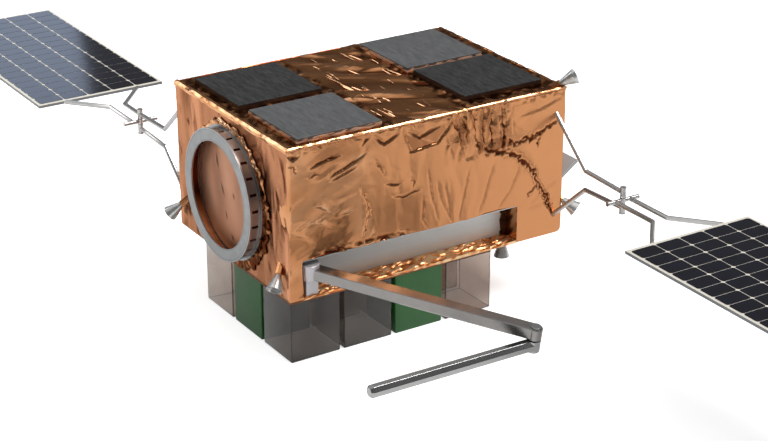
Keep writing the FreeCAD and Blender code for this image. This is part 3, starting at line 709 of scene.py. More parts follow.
class SATELLITE_OT_arm_side_foil(bpy.types.Operator):
    """Makes the arm-side blanket with the arm's recess"""

    bl_idname = "satellite.arm_side_foil"
    bl_label = "Arm-side blanket"

    def execute(self, context):
        values = context.scene.satellite_foil
        depth = OUTER.y - LOW.y
        near = 1 * MM

        def in_recess(x, z, slack=near):
            """Whether a place lies in the recess's outline."""
            across = (x > INNER.x - slack) & (x < OUTER.x + slack)
            return across & (z > INNER.z - slack) & (z < OUTER.z + slack)

        def opening(side):
            middle = side.calc_center_median()
            return side.normal.y < -0.9 and in_recess(middle.x, middle.z, 0)

        def film(side):
            middle = side.calc_center_median()
            flank = face < middle.y < face + depth - near and in_recess(middle.x, middle.z)
            return flank or side.normal.y < -0.9 and middle.y < face + near

        piece, face = slab_on(
            "foil_arm_side", 1, -1, depth + 12 * MM, values.cell,
            {0: (INNER.x, OUTER.x), 2: (INNER.z, OUTER.z)})
        select(piece, "FACE", opening)
        bpy.ops.mesh.extrude_region_move(TRANSFORM_OT_translate={"value": (0, depth, 0)})
        leave()
        cut_again(piece, film)
        points, normals = corners_of(piece), corners_of(piece, "normal")
        x, y, z = points.T
        inside = y > face + near
        moving = (y < face + depth - near) & (~inside | in_recess(x, z))
        lift, tone = arm_side_folds(points)
        crinkle = planes(x, y + z, 0.026, 21, 6, 2.2)
        # the film stays flat at the recess's rear end, where the elbow is stowed
        room = np.where(x > OUTER.x - 80 * MM, -2 * MM, 8 * MM)
        lift = np.where(inside, np.minimum(8 * MM * crinkle, room), np.clip(lift, -12 * MM, 12 * MM))
        # in the recess: lighter overall, with painted highlights on the crinkles
        tone = np.where(inside, 0.5 * crinkle + 0.3, tone)
        normals[inside & (np.abs(normals[:, 1]) > 0.2)] *= (1, 0.3, 1)
        points += normals * (lift * moving)[:, None]
        y += (turn_corner(points, 1, values.corner) - LAID_ON) * (moving & ~inside)
        draw_tight(points)
        reshape(piece, points, tone, 50)
        finished(piece, foil(), "bus", "foil", "bus_body")
        return {"FINISHED"}


def blanket_folds(name, points, axis, seed, degrees, stretch):
    """Heights of a blanket's drift, folds and crumples, and the painted shade or highlight of each place."""
    u, v = (points[:, other] - LOW[other] for other in others(axis))
    total = 3 * drift(u, v, 0.35, seed) + 1.5 * drift(u, v, 0.12, seed + 20)
    folds = planes(u, v, 0.06, seed + 40, degrees, stretch)
    fine = planes(u, v, 0.026, seed + 60, degrees + 25, 2)
    busy = np.clip(0.6 + 0.6 * drift(u, v, 0.25, seed + 80), 0.15, 1)
    if name == "foil_deck":
        # the film is slack between the plates and crumpled in the narrow strips beside them
        x, y, _ = points.T
        middle = within(x, -0.36, 0.36, 0.06)
        strip = np.zeros(u.shape)
        for node in PLATES:
            (west, south, _), (east, north, _) = (
                corner + Vector((side, side, 0)) for corner, side in zip(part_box(node), (-0.12, 0.12)))
            around = ((west, south), (east, south), (east, north), (west, north))
            strip = np.maximum(strip, patch(x, y, around, 40 * MM))
        strip *= 1 - within(x, -0.2, 0.2, 0.08)
        knots = planes(u, v, 0.03, seed + 90, 60, 1.7)
        swell = drift(u, v, 0.11, seed + 95, degrees, 3) * middle
        total = total * 0.8 + (11 * folds + 2 * fine) * busy * (0.3 + 0.7 * middle)
        total += 9 * swell + 5 * knots * strip
        # painted highlights on raised folds and swells, painted shade in their hollows and in the strips
        # beside the plates, with painted highlights on the strips' knots
        tone = 0.7 * folds * busy + 0.5 * swell - 0.1 + strip * (1.2 * knots - 0.5)
    elif name == "foil_ring_end":
        beyond = np.hypot(points[:, 1] - RING.y, points[:, 2] - RING.z) - RIM
        nicks = np.clip(planes(u, v, 0.045, seed + 90, 78, 2.5) - 0.45, 0, 1)
        total += (7 * folds + 2 * fine - 14 * nicks) * busy
        total *= np.clip(beyond / (60 * MM), 0.2, 1)
        # painted shade over the whole ring end and deeper in the nicks, painted highlights on raised folds
        tone = 0.6 * folds * busy - 0.3 - 1.8 * nicks * np.clip(beyond / (30 * MM), 0, 1)
    else:
        total += (7 * folds + 2.5 * fine) * busy
        # painted highlights on raised folds, painted shade in their hollows
        tone = 0.5 * folds * busy
    return total * MM, np.clip(tone, -1, 1)


class SATELLITE_OT_foil(bpy.types.Operator):
    """Makes the other five blankets"""

    bl_idname = "satellite.foil"
    bl_label = "Other blankets"

    def execute(self, context):
        values = context.scene.satellite_foil
        # a copy of the same film for the ring end, pinker and hazier: its pinker tone is a painted reflection
        # of the pale floor behind it
        pinker = foil_material("ring_end_film_painted_reflection", values.crease_shade_tone, "#D0926E", "#EAB692", 0.26)
        for name, axis, sign, thickness, spacing, seed, degrees, stretch in BLANKETS:
            piece, face = slab_on(name, axis, sign, thickness * MM, spacing * MM)
            cut_again(piece, lambda side: side.normal[axis] * sign > 0.9)
            points = corners_of(piece)
            outer = np.abs(points[:, axis] - face) < 0.1 * MM
            lift, tone = blanket_folds(name, points, axis, seed, degrees, stretch)
            rise = lift + LAID_ON - turn_corner(points, axis, values.corner)
            points[:, axis] += sign * np.maximum(rise, (2 - thickness) * MM) * outer
            draw_tight(points)
            reshape(piece, points, tone, 50)
            finished(piece, pinker if name == "foil_ring_end" else foil(), "bus", "foil")
        return {"FINISHED"}


class SATELLITE_OT_deck_folds(bpy.types.Operator):
    """Pinches thin upstanding folds into the deck's film between the plates"""

    bl_idname = "satellite.deck_folds"
    bl_label = "Deck folds"

    def execute(self, context):
        # the least and the spread of: length, half width, turn in degrees, place in X and Y, steepness
        least = (80 * MM, 2.4 * MM, -8, -0.31, LOW.y + 0.12, 0.75)
        spread = (130 * MM, 2.4 * MM, 17, 0.62, HIGH.y - LOW.y - 0.24, 0.5)
        draws = np.random.RandomState(77).random_sample((40, 6))
        folds = [self.fold(*row) for row in least + spread * draws]
        clear_selection()
        for piece in folds:
            piece.select_set(True)
        bpy.context.view_layer.objects.active = folds[0]
        bpy.ops.object.join()
        piece = named("foil_deck_folds")
        # painted highlights on every fold
        mark_folds(piece, np.full(len(piece.data.vertices), 0.8))
        finished(piece, foil(), "bus", "foil")
        return {"FINISHED"}

    def fold(self, length, half, turn, x, y, steep):
        """One ridge, widest in its middle, steep towards the ring and easy on its other side."""
        piece = add_cylinder("fold", 3, half, length, (0, 0, 0), ALONG[1])
        cut_across(piece, 1, [length * share for share in (-0.3, 0, 0.3)])
        across, along, up = corners_of(piece).T
        swell = half * np.clip(1.4 - (2 * np.abs(along) / length) ** 2, 0.08, 1)
        side = np.where(up > 0, 0, np.where(across > 0, 2.0, -1.0))
        bow = 0.012 * length * np.cos(along / length * math.pi)
        across, along = turned(swell * side + bow, along, -turn)
        up = swell * steep * np.where(up > 0, 1.0, -0.4)
        reshape(piece, np.stack((x + across, y + along, HIGH.z + 1 * MM + up), axis=1))
        outward(piece)
        return piece


# The hems along the deck's edges, eight-sided, with one flat across the corner. Columns: name, the axis
# that the hem runs along, the side of the bus that it is on, how far its middle lies in from the bus's
# faces in millimetres, its radius as a multiple of the setting, how crumpled it is, the size of its
# crumples in millimetres and its painted tone: painted highlight above 0, painted shade below 0.
HEMS = (
    ("foil_hem_arm_side", 0, -1, 6, 1.5, 0.45, 20, 0.35),
    ("foil_hem_far_side", 0, 1, 6, 0.75, 0.4, 16, -1),
    ("foil_hem_ring_end", 1, -1, 17, 2.9, 0.35, 30, 0.55),
    ("foil_hem_rear_end", 1, 1, 6, 1.2, 0.7, 16, -0.5),
)


class SATELLITE_OT_hems(bpy.types.Operator):
    """Folds a hem along each of the deck's edges"""

    bl_idname = "satellite.hems"
    bl_label = "Hems"

    def execute(self, context):
        for row, (name, axis, side, inset, share, crumple, size, light) in enumerate(HEMS):
            other, start, end = 1 - axis, LOW[axis], HIGH[axis]
            radius = share * context.scene.satellite_foil.hem
            across = (HIGH if side > 0 else LOW)[other] - side * inset * MM
            up = HIGH.z - inset * MM
            middle = Vector((0, 0, up))
            middle[axis], middle[other] = (start + end) / 2, across
            piece = add_cylinder(name, 16, radius, end - start, middle, ALONG[axis])
            cut_evenly(piece, axis, [start, end], 6 * MM)
            points = corners_of(piece)
            run = points[:, axis] - start
            away_u, away_v = points[:, other] - across, points[:, 2] - up
            angle = np.arctan2(away_v, away_u)
            # every second corner drops onto the flat between its neighbours
            swell = np.where(np.abs(np.sin(4 * angle)) < 0.5, math.cos(math.pi / 8), 1.0)
            crumples = planes(run / 2.2, angle * radius, size * MM, 90 + row)
            swell += crumple * (0.35 * crumples + 0.2 * drift(run, run * 0, 0.06, 95 + row))
            if axis == 0:
                swell *= 1.2 - 0.35 * run / (end - start)
            wander = 1.5 * MM * crumple
            points[:, other] = across + away_u * swell + wander * drift(run, run * 0, 0.09, 100 + row)
            points[:, 2] = up + away_v * swell + wander * drift(run, run * 0, 0.07, 105 + row)
            # painted highlight or painted shade on each hem, lighter on its crumples
            reshape(piece, points, light + 0.5 * crumples, 24)
            finished(piece, foil(), "bus", "foil")
        return {"FINISHED"}


# ---------------------------------------------------------------- recess, ring and deck


class SATELLITE_OT_recess(bpy.types.Operator):
    """Dresses the recess's sheet liner and lays loose foil in it"""

    bl_idname = "satellite.recess"
    bl_label = "Recess liner"

    def execute(self, context):
        # cold-rolled aluminium sheet, unpainted: a flat blue-grey with a faint roll grain
        material = metal_material(
            "rolled_aluminium_sheet", "#D4D8D8", 0.42, (0.08, 1, 1), 0.006, 0, 0.25, 0.97)
        # painted shade: the sheet is painted darker towards the shoulder, and lighter towards the rear as a
        # painted reflection of the floor
        tree = material.node_tree
        run = maths(tree, "MULTIPLY_ADD", split(tree, place_on_piece(tree))["X"], 0.5, 0.55)
        dull = ramp(tree, run, (0.05, 0.5), (0.3, 0.8), (0.8, 1.25))
        sheet = shader_input(tree, "Base Color").links[0].from_socket
        link(tree, mix(tree, 1.0, sheet, dull, "MULTIPLY"), "Base Color")
        dressed("recess_liner", "sheet", 0.8 * MM, material, "liner")
        self.loose_foil(context.scene.satellite_foil.crease_shade_tone)
        return {"FINISHED"}

    def loose_foil(self, crease_shade_tone):
        """Loose foil along the recess's floor, bulging over its front edge, and up its rear end."""
        gap = 2 * MM
        front = LOW.y + 1 * MM
        floor, points, crumples = self.crumpled(
            "foil_recess_floor", (INNER.x + gap, front, INNER.z - 9 * MM),
            (OUTER.x - gap, OUTER.y - 6 * MM, INNER.z + 8 * MM), 160)
        _, y, z = points.T
        behind = (y - front) / (OUTER.y - front)
        z += (np.minimum(9 * crumples, 3) + 14 * behind * behind) * MM * (z > INNER.z + 7 * MM)
        # the bulge stays small here, because the folded forearm passes close by
        y -= np.clip(3 * crumples, -3, 1) * MM * (y < front + 1 * MM)
        # lighter overall, with painted highlights on the crumples' ridges
        reshape(floor, points, 0.3 + 1.2 * crumples, 16)
        # the same film in a hazier, paler copy, with painted highlights on its ridges
        hazy = foil_material("creased_film_painted_highlights", crease_shade_tone, "#EE9658", "#FFDAAA", 0.32, 0.85)
        finished(floor, hazy, "bus", "foil")
        rear, points, crumples = self.crumpled(
            "foil_recess_rear", (OUTER.x - 42 * MM, OUTER.y - 12 * MM, INNER.z + gap),
            (OUTER.x - gap, OUTER.y - gap, OUTER.z - gap), 165)
        x, y, _ = points.T
        x += 16 * crumples * MM * (x < OUTER.x - 41 * MM)
        y -= 7 * crumples * MM * (y < OUTER.y - 11 * MM)
        # painted shade, darker overall
        reshape(rear, points, crumples - 0.2, 16)
        # the same film in a dark, matt copy: painted shade at the recess's rear end
        backing = foil_material("rear_film_painted_shade", "#1E0D06", "#5A3018", "#8A5230", 0.5, 0.5)
        finished(rear, backing, "bus", "foil")

    def crumpled(self, name, low, high, seed):
        """A block cut finely, the places of its corners and how crumpled each of them is."""
        piece = add_block(name, low, high)
        for axis in range(3):
            cut_evenly(piece, axis, [low[axis], high[axis]], 4.6 * MM)
        points = corners_of(piece)
        x, y, z = points.T
        return piece, points, planes(x + 0.3 * z, y + z, 0.015, seed, 8, 2.6)


LINING = 441 * MM  # radius of the film behind the web's windows
WINDOW = 436 * MM  # radius of the film across the ring's opening
# The nicks in that film, as places across and up from the ring's middle, in metres.
NICKS = (
    ((0.17, 0.24), (0.16, 0.17), (0.14, 0.13)),
    ((0.11, 0.04), (0.09, -0.02), (0.06, -0.06)),
    ((0.05, -0.15), (0.04, -0.22)),
    ((-0.06, 0.02), (-0.08, -0.03)),
    ((-0.02, -0.30), (-0.05, -0.36)),
)


def turned_aluminium(tone):
    """Aluminium turned on a lathe: satin, with fine rings from the tool."""
    material, tree = new_material("turned_aluminium", Metallic=1.0)
    place = place_on_piece(tree, centre=RING)
    rings = add_node(
        tree, "ShaderNodeTexWave", {"Vector": place, "Scale": 60.0, "Distortion": 0.4},
        wave_type="RINGS", rings_direction="X").outputs["Fac"]
    # painted shade and highlights at the flange's edges: a dark line and a bright one at either edge of its
    # face
    parts = split(tree, place)
    flat = add_node(tree, "ShaderNodeCombineXYZ", {"Y": parts["Y"], "Z": parts["Z"]}).outputs[0]
    reach = add_node(tree, "ShaderNodeVectorMath", {0: flat}, operation="LENGTH").outputs["Value"]
    steps = ramp(tree, reach, (0.380, 1.25), (0.384, 0.45), (0.389, 1.0), (0.452, 1.0),
                 (0.455, 0.5), (0.459, 1.0), (0.464, 1.3))
    metal = ramp(tree, noise(tree, place, 0.08, 3), (0.3, "#8B8D8D"), (0.7, tone))
    link(tree, mix(tree, 1.0, metal, steps, "MULTIPLY"), "Base Color")
    link(tree, ramp(tree, rings, (0.0, 0.24), (1.0, 0.34)), "Roughness")
    bump(tree, rings, 0.02)
    return material


class SATELLITE_OT_ring(bpy.types.Operator):
    """Dresses the launch ring and gathers the foil round it"""

    bl_idname = "satellite.ring"
    bl_label = "Launch ring"

    def execute(self, context):
        values = context.scene.satellite_ring
        piece = dressed("adapter_ring", "turned", values.edge, turned_aluminium(values.metal), "ring_metal")
        # the same aluminium, bead-blasted round the web: pale and soft
        piece.data.materials.append(
            metal_material("blasted_aluminium", "#B5A8A2", 0.32, metallic=0.8))
        for face in piece.data.polygons:
            if abs(face.normal.x) < 0.5:
                face.material_index = 1
        self.lining()
        self.window()
        self.gather(values.gathers)
        return {"FINISHED"}

    def lining(self):
        """A band of film behind the windows of the web."""
        low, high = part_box("adapter_ring")
        piece = add_cylinder(
            "ring_window_lining", 96, LINING, high.x - low.x - 26 * MM,
            ((low.x + high.x) / 2, *RING.yz), ALONG[0], end_fill_type="NOTHING")
        apply_modifier(piece, "SOLIDIFY", thickness=2 * MM, offset=-1)
        smooth(piece, 40)
        outward(piece)
        # painted shade above, where the band faces down into the ring, and painted highlights in a crumpled
        # pattern below
        x, y, z = (corners_of(piece) - (0, *RING.yz)).T
        below = np.clip(-2.5 * z / LINING - 0.8, 0, 1)
        crumples = planes(np.arctan2(z, y) * LINING, x, 0.05, 66)
        mark_folds(piece, below * (1.5 + 1.2 * crumples) - 1)
        finished(piece, foil(), "bus", "foil")

    def window(self):
        """Film stretched across the ring's opening, with a few short nicks."""
        seat = COLLAR_LOW.x
        piece = add_cylinder(
            "foil_ring_window", 96, WINDOW, 3 * MM, (seat - 1.5 * MM, *RING.yz), ALONG[0])
        reach = WINDOW + 4 * MM
        for axis in (1, 2):
            cut_evenly(piece, axis, [RING[axis] - reach, RING[axis] + reach], 11 * MM)
        points = corners_of(piece)
        x, y, z = (points - (0, *RING.yz)).T
        loose = np.clip((WINDOW - 6 * MM - np.hypot(y, z)) / (30 * MM), 0, 1) * (x < seat - 1 * MM)
        swell = drift(y, z, 0.15, 61, 80, 3.0)
        nicks = sum(crease(y, z, route, 11 * MM, 18 * MM, 4 * MM, 62) for route in NICKS)
        points[:, 0] -= (3 + 4 * swell - 5 * nicks) * MM * loose
        # painted highlights on the swells and painted shade in the nicks
        reshape(piece, points, 0.4 * swell - 1.3 * nicks, 40)
        outward(piece)
        # the film's inner layer: hazier and pinker than the outer one
        inner = foil_material("copper_film_inner_layer", "#4A2A1C", "#C98F70", "#E6B493", 0.4, 0.5)
        finished(piece, inner, "bus", "foil")

    def gather(self, gathers):
        """A disc of foil pulled in round the ring's foot."""
        wall = COLLAR_HIGH.x - 8 * MM
        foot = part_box("adapter_ring")[1].z - RING.z - 8 * MM
        clear_selection()
        bpy.ops.mesh.primitive_circle_add(
            vertices=gathers * 8, radius=RIM, location=(wall, *RING.yz),
            rotation=(0, -math.pi / 2, 0))
        piece = named("ring_collar_gathered")
        edit(piece, "EDGE", "SELECT")
        steps = 7
        radii = [RIM + (foot - RIM) * step / steps for step in range(steps + 1)]
        for step, (outer, inner) in enumerate(zip(radii, radii[1:])):
            bpy.ops.mesh.extrude_region_move(TRANSFORM_OT_translate={"value": (-1 * MM, 0, 0)})
            bpy.ops.transform.resize(
                value=(1, inner / outer, inner / outer),
                center_override=(wall - (1 + step) * MM, *RING.yz))
        leave()
        x, y, z = (corners_of(piece) - (0, *RING.yz)).T
        radius, run = np.hypot(y, z), np.arctan2(z, y) * RIM
        share = (radius - foot) / (RIM - foot)
        fold = planes(run, share * 0.05, 0.045, 120)
        fine = planes(run, share * 0.04, 0.018, 121)
        x -= (12 + 14 * fold + 6 * fine) * MM * (0.3 + 0.7 * share) * (1 - 0.9 * share ** 6)
        # the film is gathered widest low on the arm side
        lobe = np.clip(-0.9 * y / radius - 0.35 * z / radius, 0, 1)
        jag = 22 * planes(run, run * 0, 0.03, 122) + 12 * drift(run, run * 0, 0.16, 123)
        jag += lobe * (40 + 26 * planes(run, run * 0, 0.036, 124))
        scale = 1 + share * jag * MM / radius
        points = np.stack((x, RING.y + y * scale, RING.z + z * scale), axis=1)
        # painted tone: lighter towards the top, painted shade on the wide lobe low on the arm side, painted
        # highlights on the folds
        reshape(piece, points, 0.8 * fold + 0.6 * fine + 0.2 + 0.6 * z / radius - 1.1 * lobe)
        apply_modifier(piece, "SOLIDIFY", thickness=2 * MM, offset=-1)
        smooth(piece, 50)
        outward(piece)
        finished(piece, foil(), "bus", "foil", "ring_collar")


def plate_material(name, tone, light, metallic, roughness):
    """A machined radiator plate with fine speckles and a faint grain."""
    material, tree = new_material(name, Metallic=metallic)
    speckle = noise(tree, place_on_piece(tree), 0.007, 3, 0.8)
    brushed = noise(tree, place_on_piece(tree, (1, 0.12, 1), turn=20), 0.012, 4, 0.7)
    both = maths(tree, "MULTIPLY_ADD", speckle, 0.5, brushed)
    link(tree, ramp(tree, both, (0.62, tone), (0.92, light)), "Base Color")
    vary(tree, "Roughness", brushed, roughness * 0.8, roughness * 1.2)
    bump(tree, both, 0.08, 0.4)
    return material


class SATELLITE_OT_deck(bpy.types.Operator):
    """Dresses the four deck plates and crumples the foil seats under them"""

    bl_idname = "satellite.deck"
    bl_label = "Deck plates"

    def execute(self, context):
        # bare aluminium, blasted and then brushed: mid grey with a soft sheen
        grey = plate_material("brushed_aluminium_plate", "#5F6061", "#7C7D7E", 0.35, 0.42)
        # black anodised aluminium, open-pored: nearly black, with light specks
        dark = plate_material("black_anodised_plate", "#1B1B1B", "#464646", 0.2, 0.5)
        # a pale, hazy copy of the film: painted highlights on the seats under the grey plates
        pale = foil_material("seat_film_painted_highlights", "#8A6248", "#DCB092", "#F0D2B8", 0.45, 0.3)
        # a dark, matt copy of the film: painted shade on the seats under the dark plates
        matt = metal_material("seat_film_painted_shade", "#3C2517", 0.55, metallic=0.3)
        for node in PLATES:
            look = (grey, "plate_grey") if "grey" in node else (dark, "plate_dark")
            dressed(node, "machined", 2 * MM, *look)
        for row, node in enumerate(PLATES):
            seat, crumples = self.seat(node, 140 + row, "grey" in node)
            # painted highlights on the grey plates' seats, painted shade on the dark plates' seats
            mark_folds(seat, 0.3 + crumples if "grey" in node else 0.2 * crumples - 0.8)
            nodes = () if row else ("plate_seats",)
            finished(seat, pale if "grey" in node else matt, "bus", "foil", *nodes)
        return {"FINISHED"}

    def seat(self, node, seed, loose):
        """A foil pad under one plate, and how crumpled each of its corners is."""
        near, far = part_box(node)
        middle = (near + far) / 2
        inset = 3 * MM
        half = (far.x - near.x) / 2 - inset
        low = (near.x + inset, near.y + inset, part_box("plate_seats")[0].z - 2 * MM)
        high = (far.x - inset, far.y - inset, far.z - 9 * MM)
        piece = add_block(node.replace("deck_plate", "plate_seat"), low, high)
        for axis, spacing in enumerate((12 * MM, 12 * MM, 4 * MM)):
            cut_evenly(piece, axis, [low[axis], high[axis]], spacing)
        points = corners_of(piece)
        x, y, z = points.T
        crumples = planes(x + y * 0.3, y - x * 0.3 + z * 3, 0.03, seed)
        for axis in (0, 1):
            side = points[:, axis] - middle[axis]
            rim = np.clip((np.abs(side) - half * 0.93) / (half * 0.07), 0, 1)
            points[:, axis] += np.sign(side) * (4 + 3.5 * crumples * loose) * MM * rim
        reshape(piece, points, crumples, 40)
        return piece, crumples


# ---------------------------------------------------------------- boxes and thrusters


def acrylic(name, tone):
    """Cast acrylic sheet, lightly smoked: clear, with painted shade on its rounded edges."""
    material, tree = new_material(name, Roughness=0.04, IOR=1.49, Transmission_Weight=1.0)
    smoke = noise(tree, place_on_piece(tree), 0.18)
    clear = ramp(tree, smoke, (0.3, shaded(tone, 0.95)), (0.7, tone))
    edge = add_node(tree, "ShaderNodeAttribute", attribute_name="edge").outputs["Fac"]
    link(tree, mix(tree, edge, clear, linear("#6A625C")), "Base Color")
    return material


def green_plastic(name, tone):
    """Moulded ABS in green: satin, with a fine spark-eroded texture."""
    material, tree = new_material(name, IOR=1.53)
    place = place_on_piece(tree)
    grain = noise(tree, place, 0.003)
    vary(tree, "Base Color", noise(tree, place, 0.15), shaded(tone, 0.92), tone)
    vary(tree, "Roughness", grain, 0.32, 0.46)
    bump(tree, grain, 0.05)
    return material


class SATELLITE_OT_boxes(bpy.types.Operator):
    """Makes the twelve boxes and dresses the carrier that holds them"""

    bl_idname = "satellite.boxes"
    bl_label = "Sample boxes"

    def execute(self, context):
        values = context.scene.satellite_boxes
        clear = acrylic("smoked_acrylic", values.clear)
        # the two at the near corner get a darker copy of the acrylic: painted shade, where they sit in the
        # bus's shadow
        deep = acrylic("acrylic_painted_shade", shaded(values.clear, 0.8))
        green = green_plastic("green_abs", values.green)
        for node in sorted(frame["nodes"]):
            if not node.startswith(("box_clear", "box_green")):
                continue
            low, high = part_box(node)
            piece = add_block(node + "_moulded", low, high)
            # every edge but those of the lid
            select(piece, "EDGE", lambda edge: min(end.co.z for end in edge.verts) <= high.z - SEAM)
            bpy.ops.mesh.bevel(offset=values.corner, segments=3, affect="EDGES")
            leave()
            # the rounded edges are marked for painted shade
            edge_shade_mask = [max(map(abs, face.normal)) < 0.999 for face in piece.data.polygons]
            piece.data.attributes.new("edge", "FLOAT", "FACE").data.foreach_set("value", edge_shade_mask)
            apply_modifier(piece, "SOLIDIFY", thickness=values.wall, offset=-1)
            smooth(piece, 40)
            if "green" in node:
                finished(piece, green, "bus", "box_green", node)
            else:
                # painted shade on the two boxes at the near corner
                tint = deep if low.y < -0.5 and low.x < -0.2 else clear
                finished(piece, tint, "bus", "box_clear", node)
        # bronze anodised sheet: dull, with a little wear
        carrier = metal_material("anodised_carrier", "#8A5F42", 0.5, size=0.01, metallic=0.5)
        dressed("box_carrier", "plate", 1.5 * MM, carrier, "carrier")
        return {"FINISHED"}


class SATELLITE_OT_thrusters(bpy.types.Operator):
    """Dresses the thruster nozzles and wraps their stems"""

    bl_idname = "satellite.thrusters"
    bl_label = "Thrusters"

    def execute(self, context):
        # spun stainless steel, polished: bright with soft streaks round the cone
        polished = metal_material("spun_steel", "#E0E0DE", 0.26, size=0.03, metallic=0.75)
        dressed("thruster_nozzles", "spun", 0.8 * MM, polished, "nozzle")
        dressed("thruster_stems", "wrapped", 3 * MM, foil(), "foil")
        return {"FINISHED"}


# ---------------------------------------------------------------- wings


class SATELLITE_OT_struts(bpy.types.Operator):
    """Dresses the yokes, gimbals and forks that carry the wings"""

    bl_idname = "satellite.struts"
    bl_label = "Wing struts"

    def execute(self, context):
        # drawn stainless bar, polished: bright, with a faint lengthwise grain
        steel = metal_material(
            "polished_steel_bar", "#CBC9C7", 0.24, size=0.05, depth=0, metallic=0.8, even=0.96)
        for side in ("near", "far"):
            for part in ("yoke", "gimbal", "fork"):
                dressed(f"wing_{part}_{side}", "polished", 1.2 * MM, steel, "strut")
        return {"FINISHED"}


class SATELLITE_OT_panels(bpy.types.Operator):
    """Dresses the solar panels and paints their cells"""

    bl_idname = "satellite.panels"
    bl_label = "Solar panels"

    def execute(self, context):
        # white-faced honeycomb panel: warm white cover sheet, bare grey edges
        core, tree = new_material("honeycomb_panel", Roughness=0.38)
        facing_up = split(tree, add_node(tree, "ShaderNodeNewGeometry").outputs["Normal"])["Z"]
        link(tree, ramp(tree, facing_up, (0.5, "#8F9294"), (0.8, "#EFE9DC")), "Base Color")
        bump(tree, noise(tree, place_on_piece(tree), 0.01), 0.05)
        cells = cell_material()
        for side in ("near", "far"):
            dressed(f"panel_{side}", "faced", 1.5 * MM, core, "panel_core")
            shown = frame["nodes"][f"solar_cells_{side}"]
            shown.data.materials.clear()
            shown.data.materials.append(cells)
        return {"FINISHED"}


def cell_material():
    """Monocrystalline silicon under glass: navy to black, with fine contact lines."""
    material, tree = new_material("silicon_cell", Roughness=0.12, IOR=1.5)
    place = place_on_piece(tree)
    # contact lines are drawn 3 mm wide so that they show
    across = maths(tree, "MULTIPLY", split(tree, place)["X"], 1 / 0.032)
    line = maths(tree, "LESS_THAN", maths(tree, "FRACT", across), 0.09)
    dark = ramp(tree, noise(tree, place, 0.09), (0.3, "#070812"), (0.7, "#0D0F20"))
    link(tree, mix(tree, line, dark, linear("#20222E")), "Base Color")
    return material


# ---------------------------------------------------------------- arm and antenna


class SATELLITE_OT_arm(bpy.types.Operator):
    """Dresses the arm and its shoulder bracket"""

    bl_idname = "satellite.arm"
    bl_label = "Arm"

    def execute(self, context):
        # extruded aluminium, satin: mid grey with a lengthwise grain
        satin = metal_material("satin_aluminium", "#989593", 0.25, size=0.05, depth=0, even=0.96)
        # the same section, polished: sharper reflections
        bright = metal_material("polished_aluminium", "#B0B1AF", 0.16, size=0.05, depth=0, even=0.96)
        # clear-anodised aluminium: pale, with a soft sheen
        pale = metal_material("clear_anodised_aluminium", "#D2CED2", 0.3, metallic=0.5, depth=0, even=0.97)
        dressed("arm_shoulder_bracket", "machined", 1.6 * MM, pale, "arm_metal")
        dressed("arm_upper", "extruded", 1.6 * MM, satin, "arm_metal")
        dressed("arm_forearm", "extruded", 1.6 * MM, bright, "arm_bright")
        finished(self.drum_sleeve(), pale, BODY_OF["arm_upper"], "arm_metal")
        return {"FINISHED"}

    def drum_sleeve(self):
        """A pale cover over the shoulder's drum, reaching a little above it."""
        joint = next(joint for joint in BEHAVIOUR["joints"] if joint["name"] == "arm_shoulder")
        axis, centre = Vector(joint["axis"]).normalized(), Vector(joint["pos_m"])
        piece = add_cylinder("arm_shoulder_drum_sleeve", 64, 68 * MM, 121 * MM, centre + axis * 14 * MM,
                             axis.to_track_quat("Z", "Y").to_euler())
        bevel_edges(piece, 5 * MM, 3)
        smooth(piece, 40)
        outward(piece)
        return piece


class SATELLITE_OT_antenna(bpy.types.Operator):
    """Dresses the rear antenna"""

    bl_idname = "satellite.antenna"
    bl_label = "Rear antenna"

    def execute(self, context):
        # painted composite plate: light grey, matt
        paint, tree = new_material("grey_paint", Roughness=0.5)
        coat = noise(tree, place_on_piece(tree), 0.004)
        vary(tree, "Base Color", coat, "#B8BABB", "#C6C8C9")
        bump(tree, coat, 0.05)
        dressed("rear_antenna", "painted", 1.5 * MM, paint, "antenna")
        return {"FINISHED"}


# ---------------------------------------------------------------- stage

KEY_PLACE = Vector((0.43, -0.33, 0.84)) * 12  # the sun's place gives its direction

# Softboxes behind the part. Columns: name, place in metres, width and height in metres, brightness and
# colour.
SOFTBOXES = (
    # high on the left: streaks on the deck and the hem over the ring
    ("back_left_softbox", (-6.0, 8.4, 7.0), 4.0, 3.4, 2.6, (1, 1, 1)),
    # low and straight behind: the sheen on part of the far panel
    ("back_low_softbox", (0.8, 10.6, 3.6), 3.2, 1.9, 1.35, (0.62, 0.75, 1.0)),
)


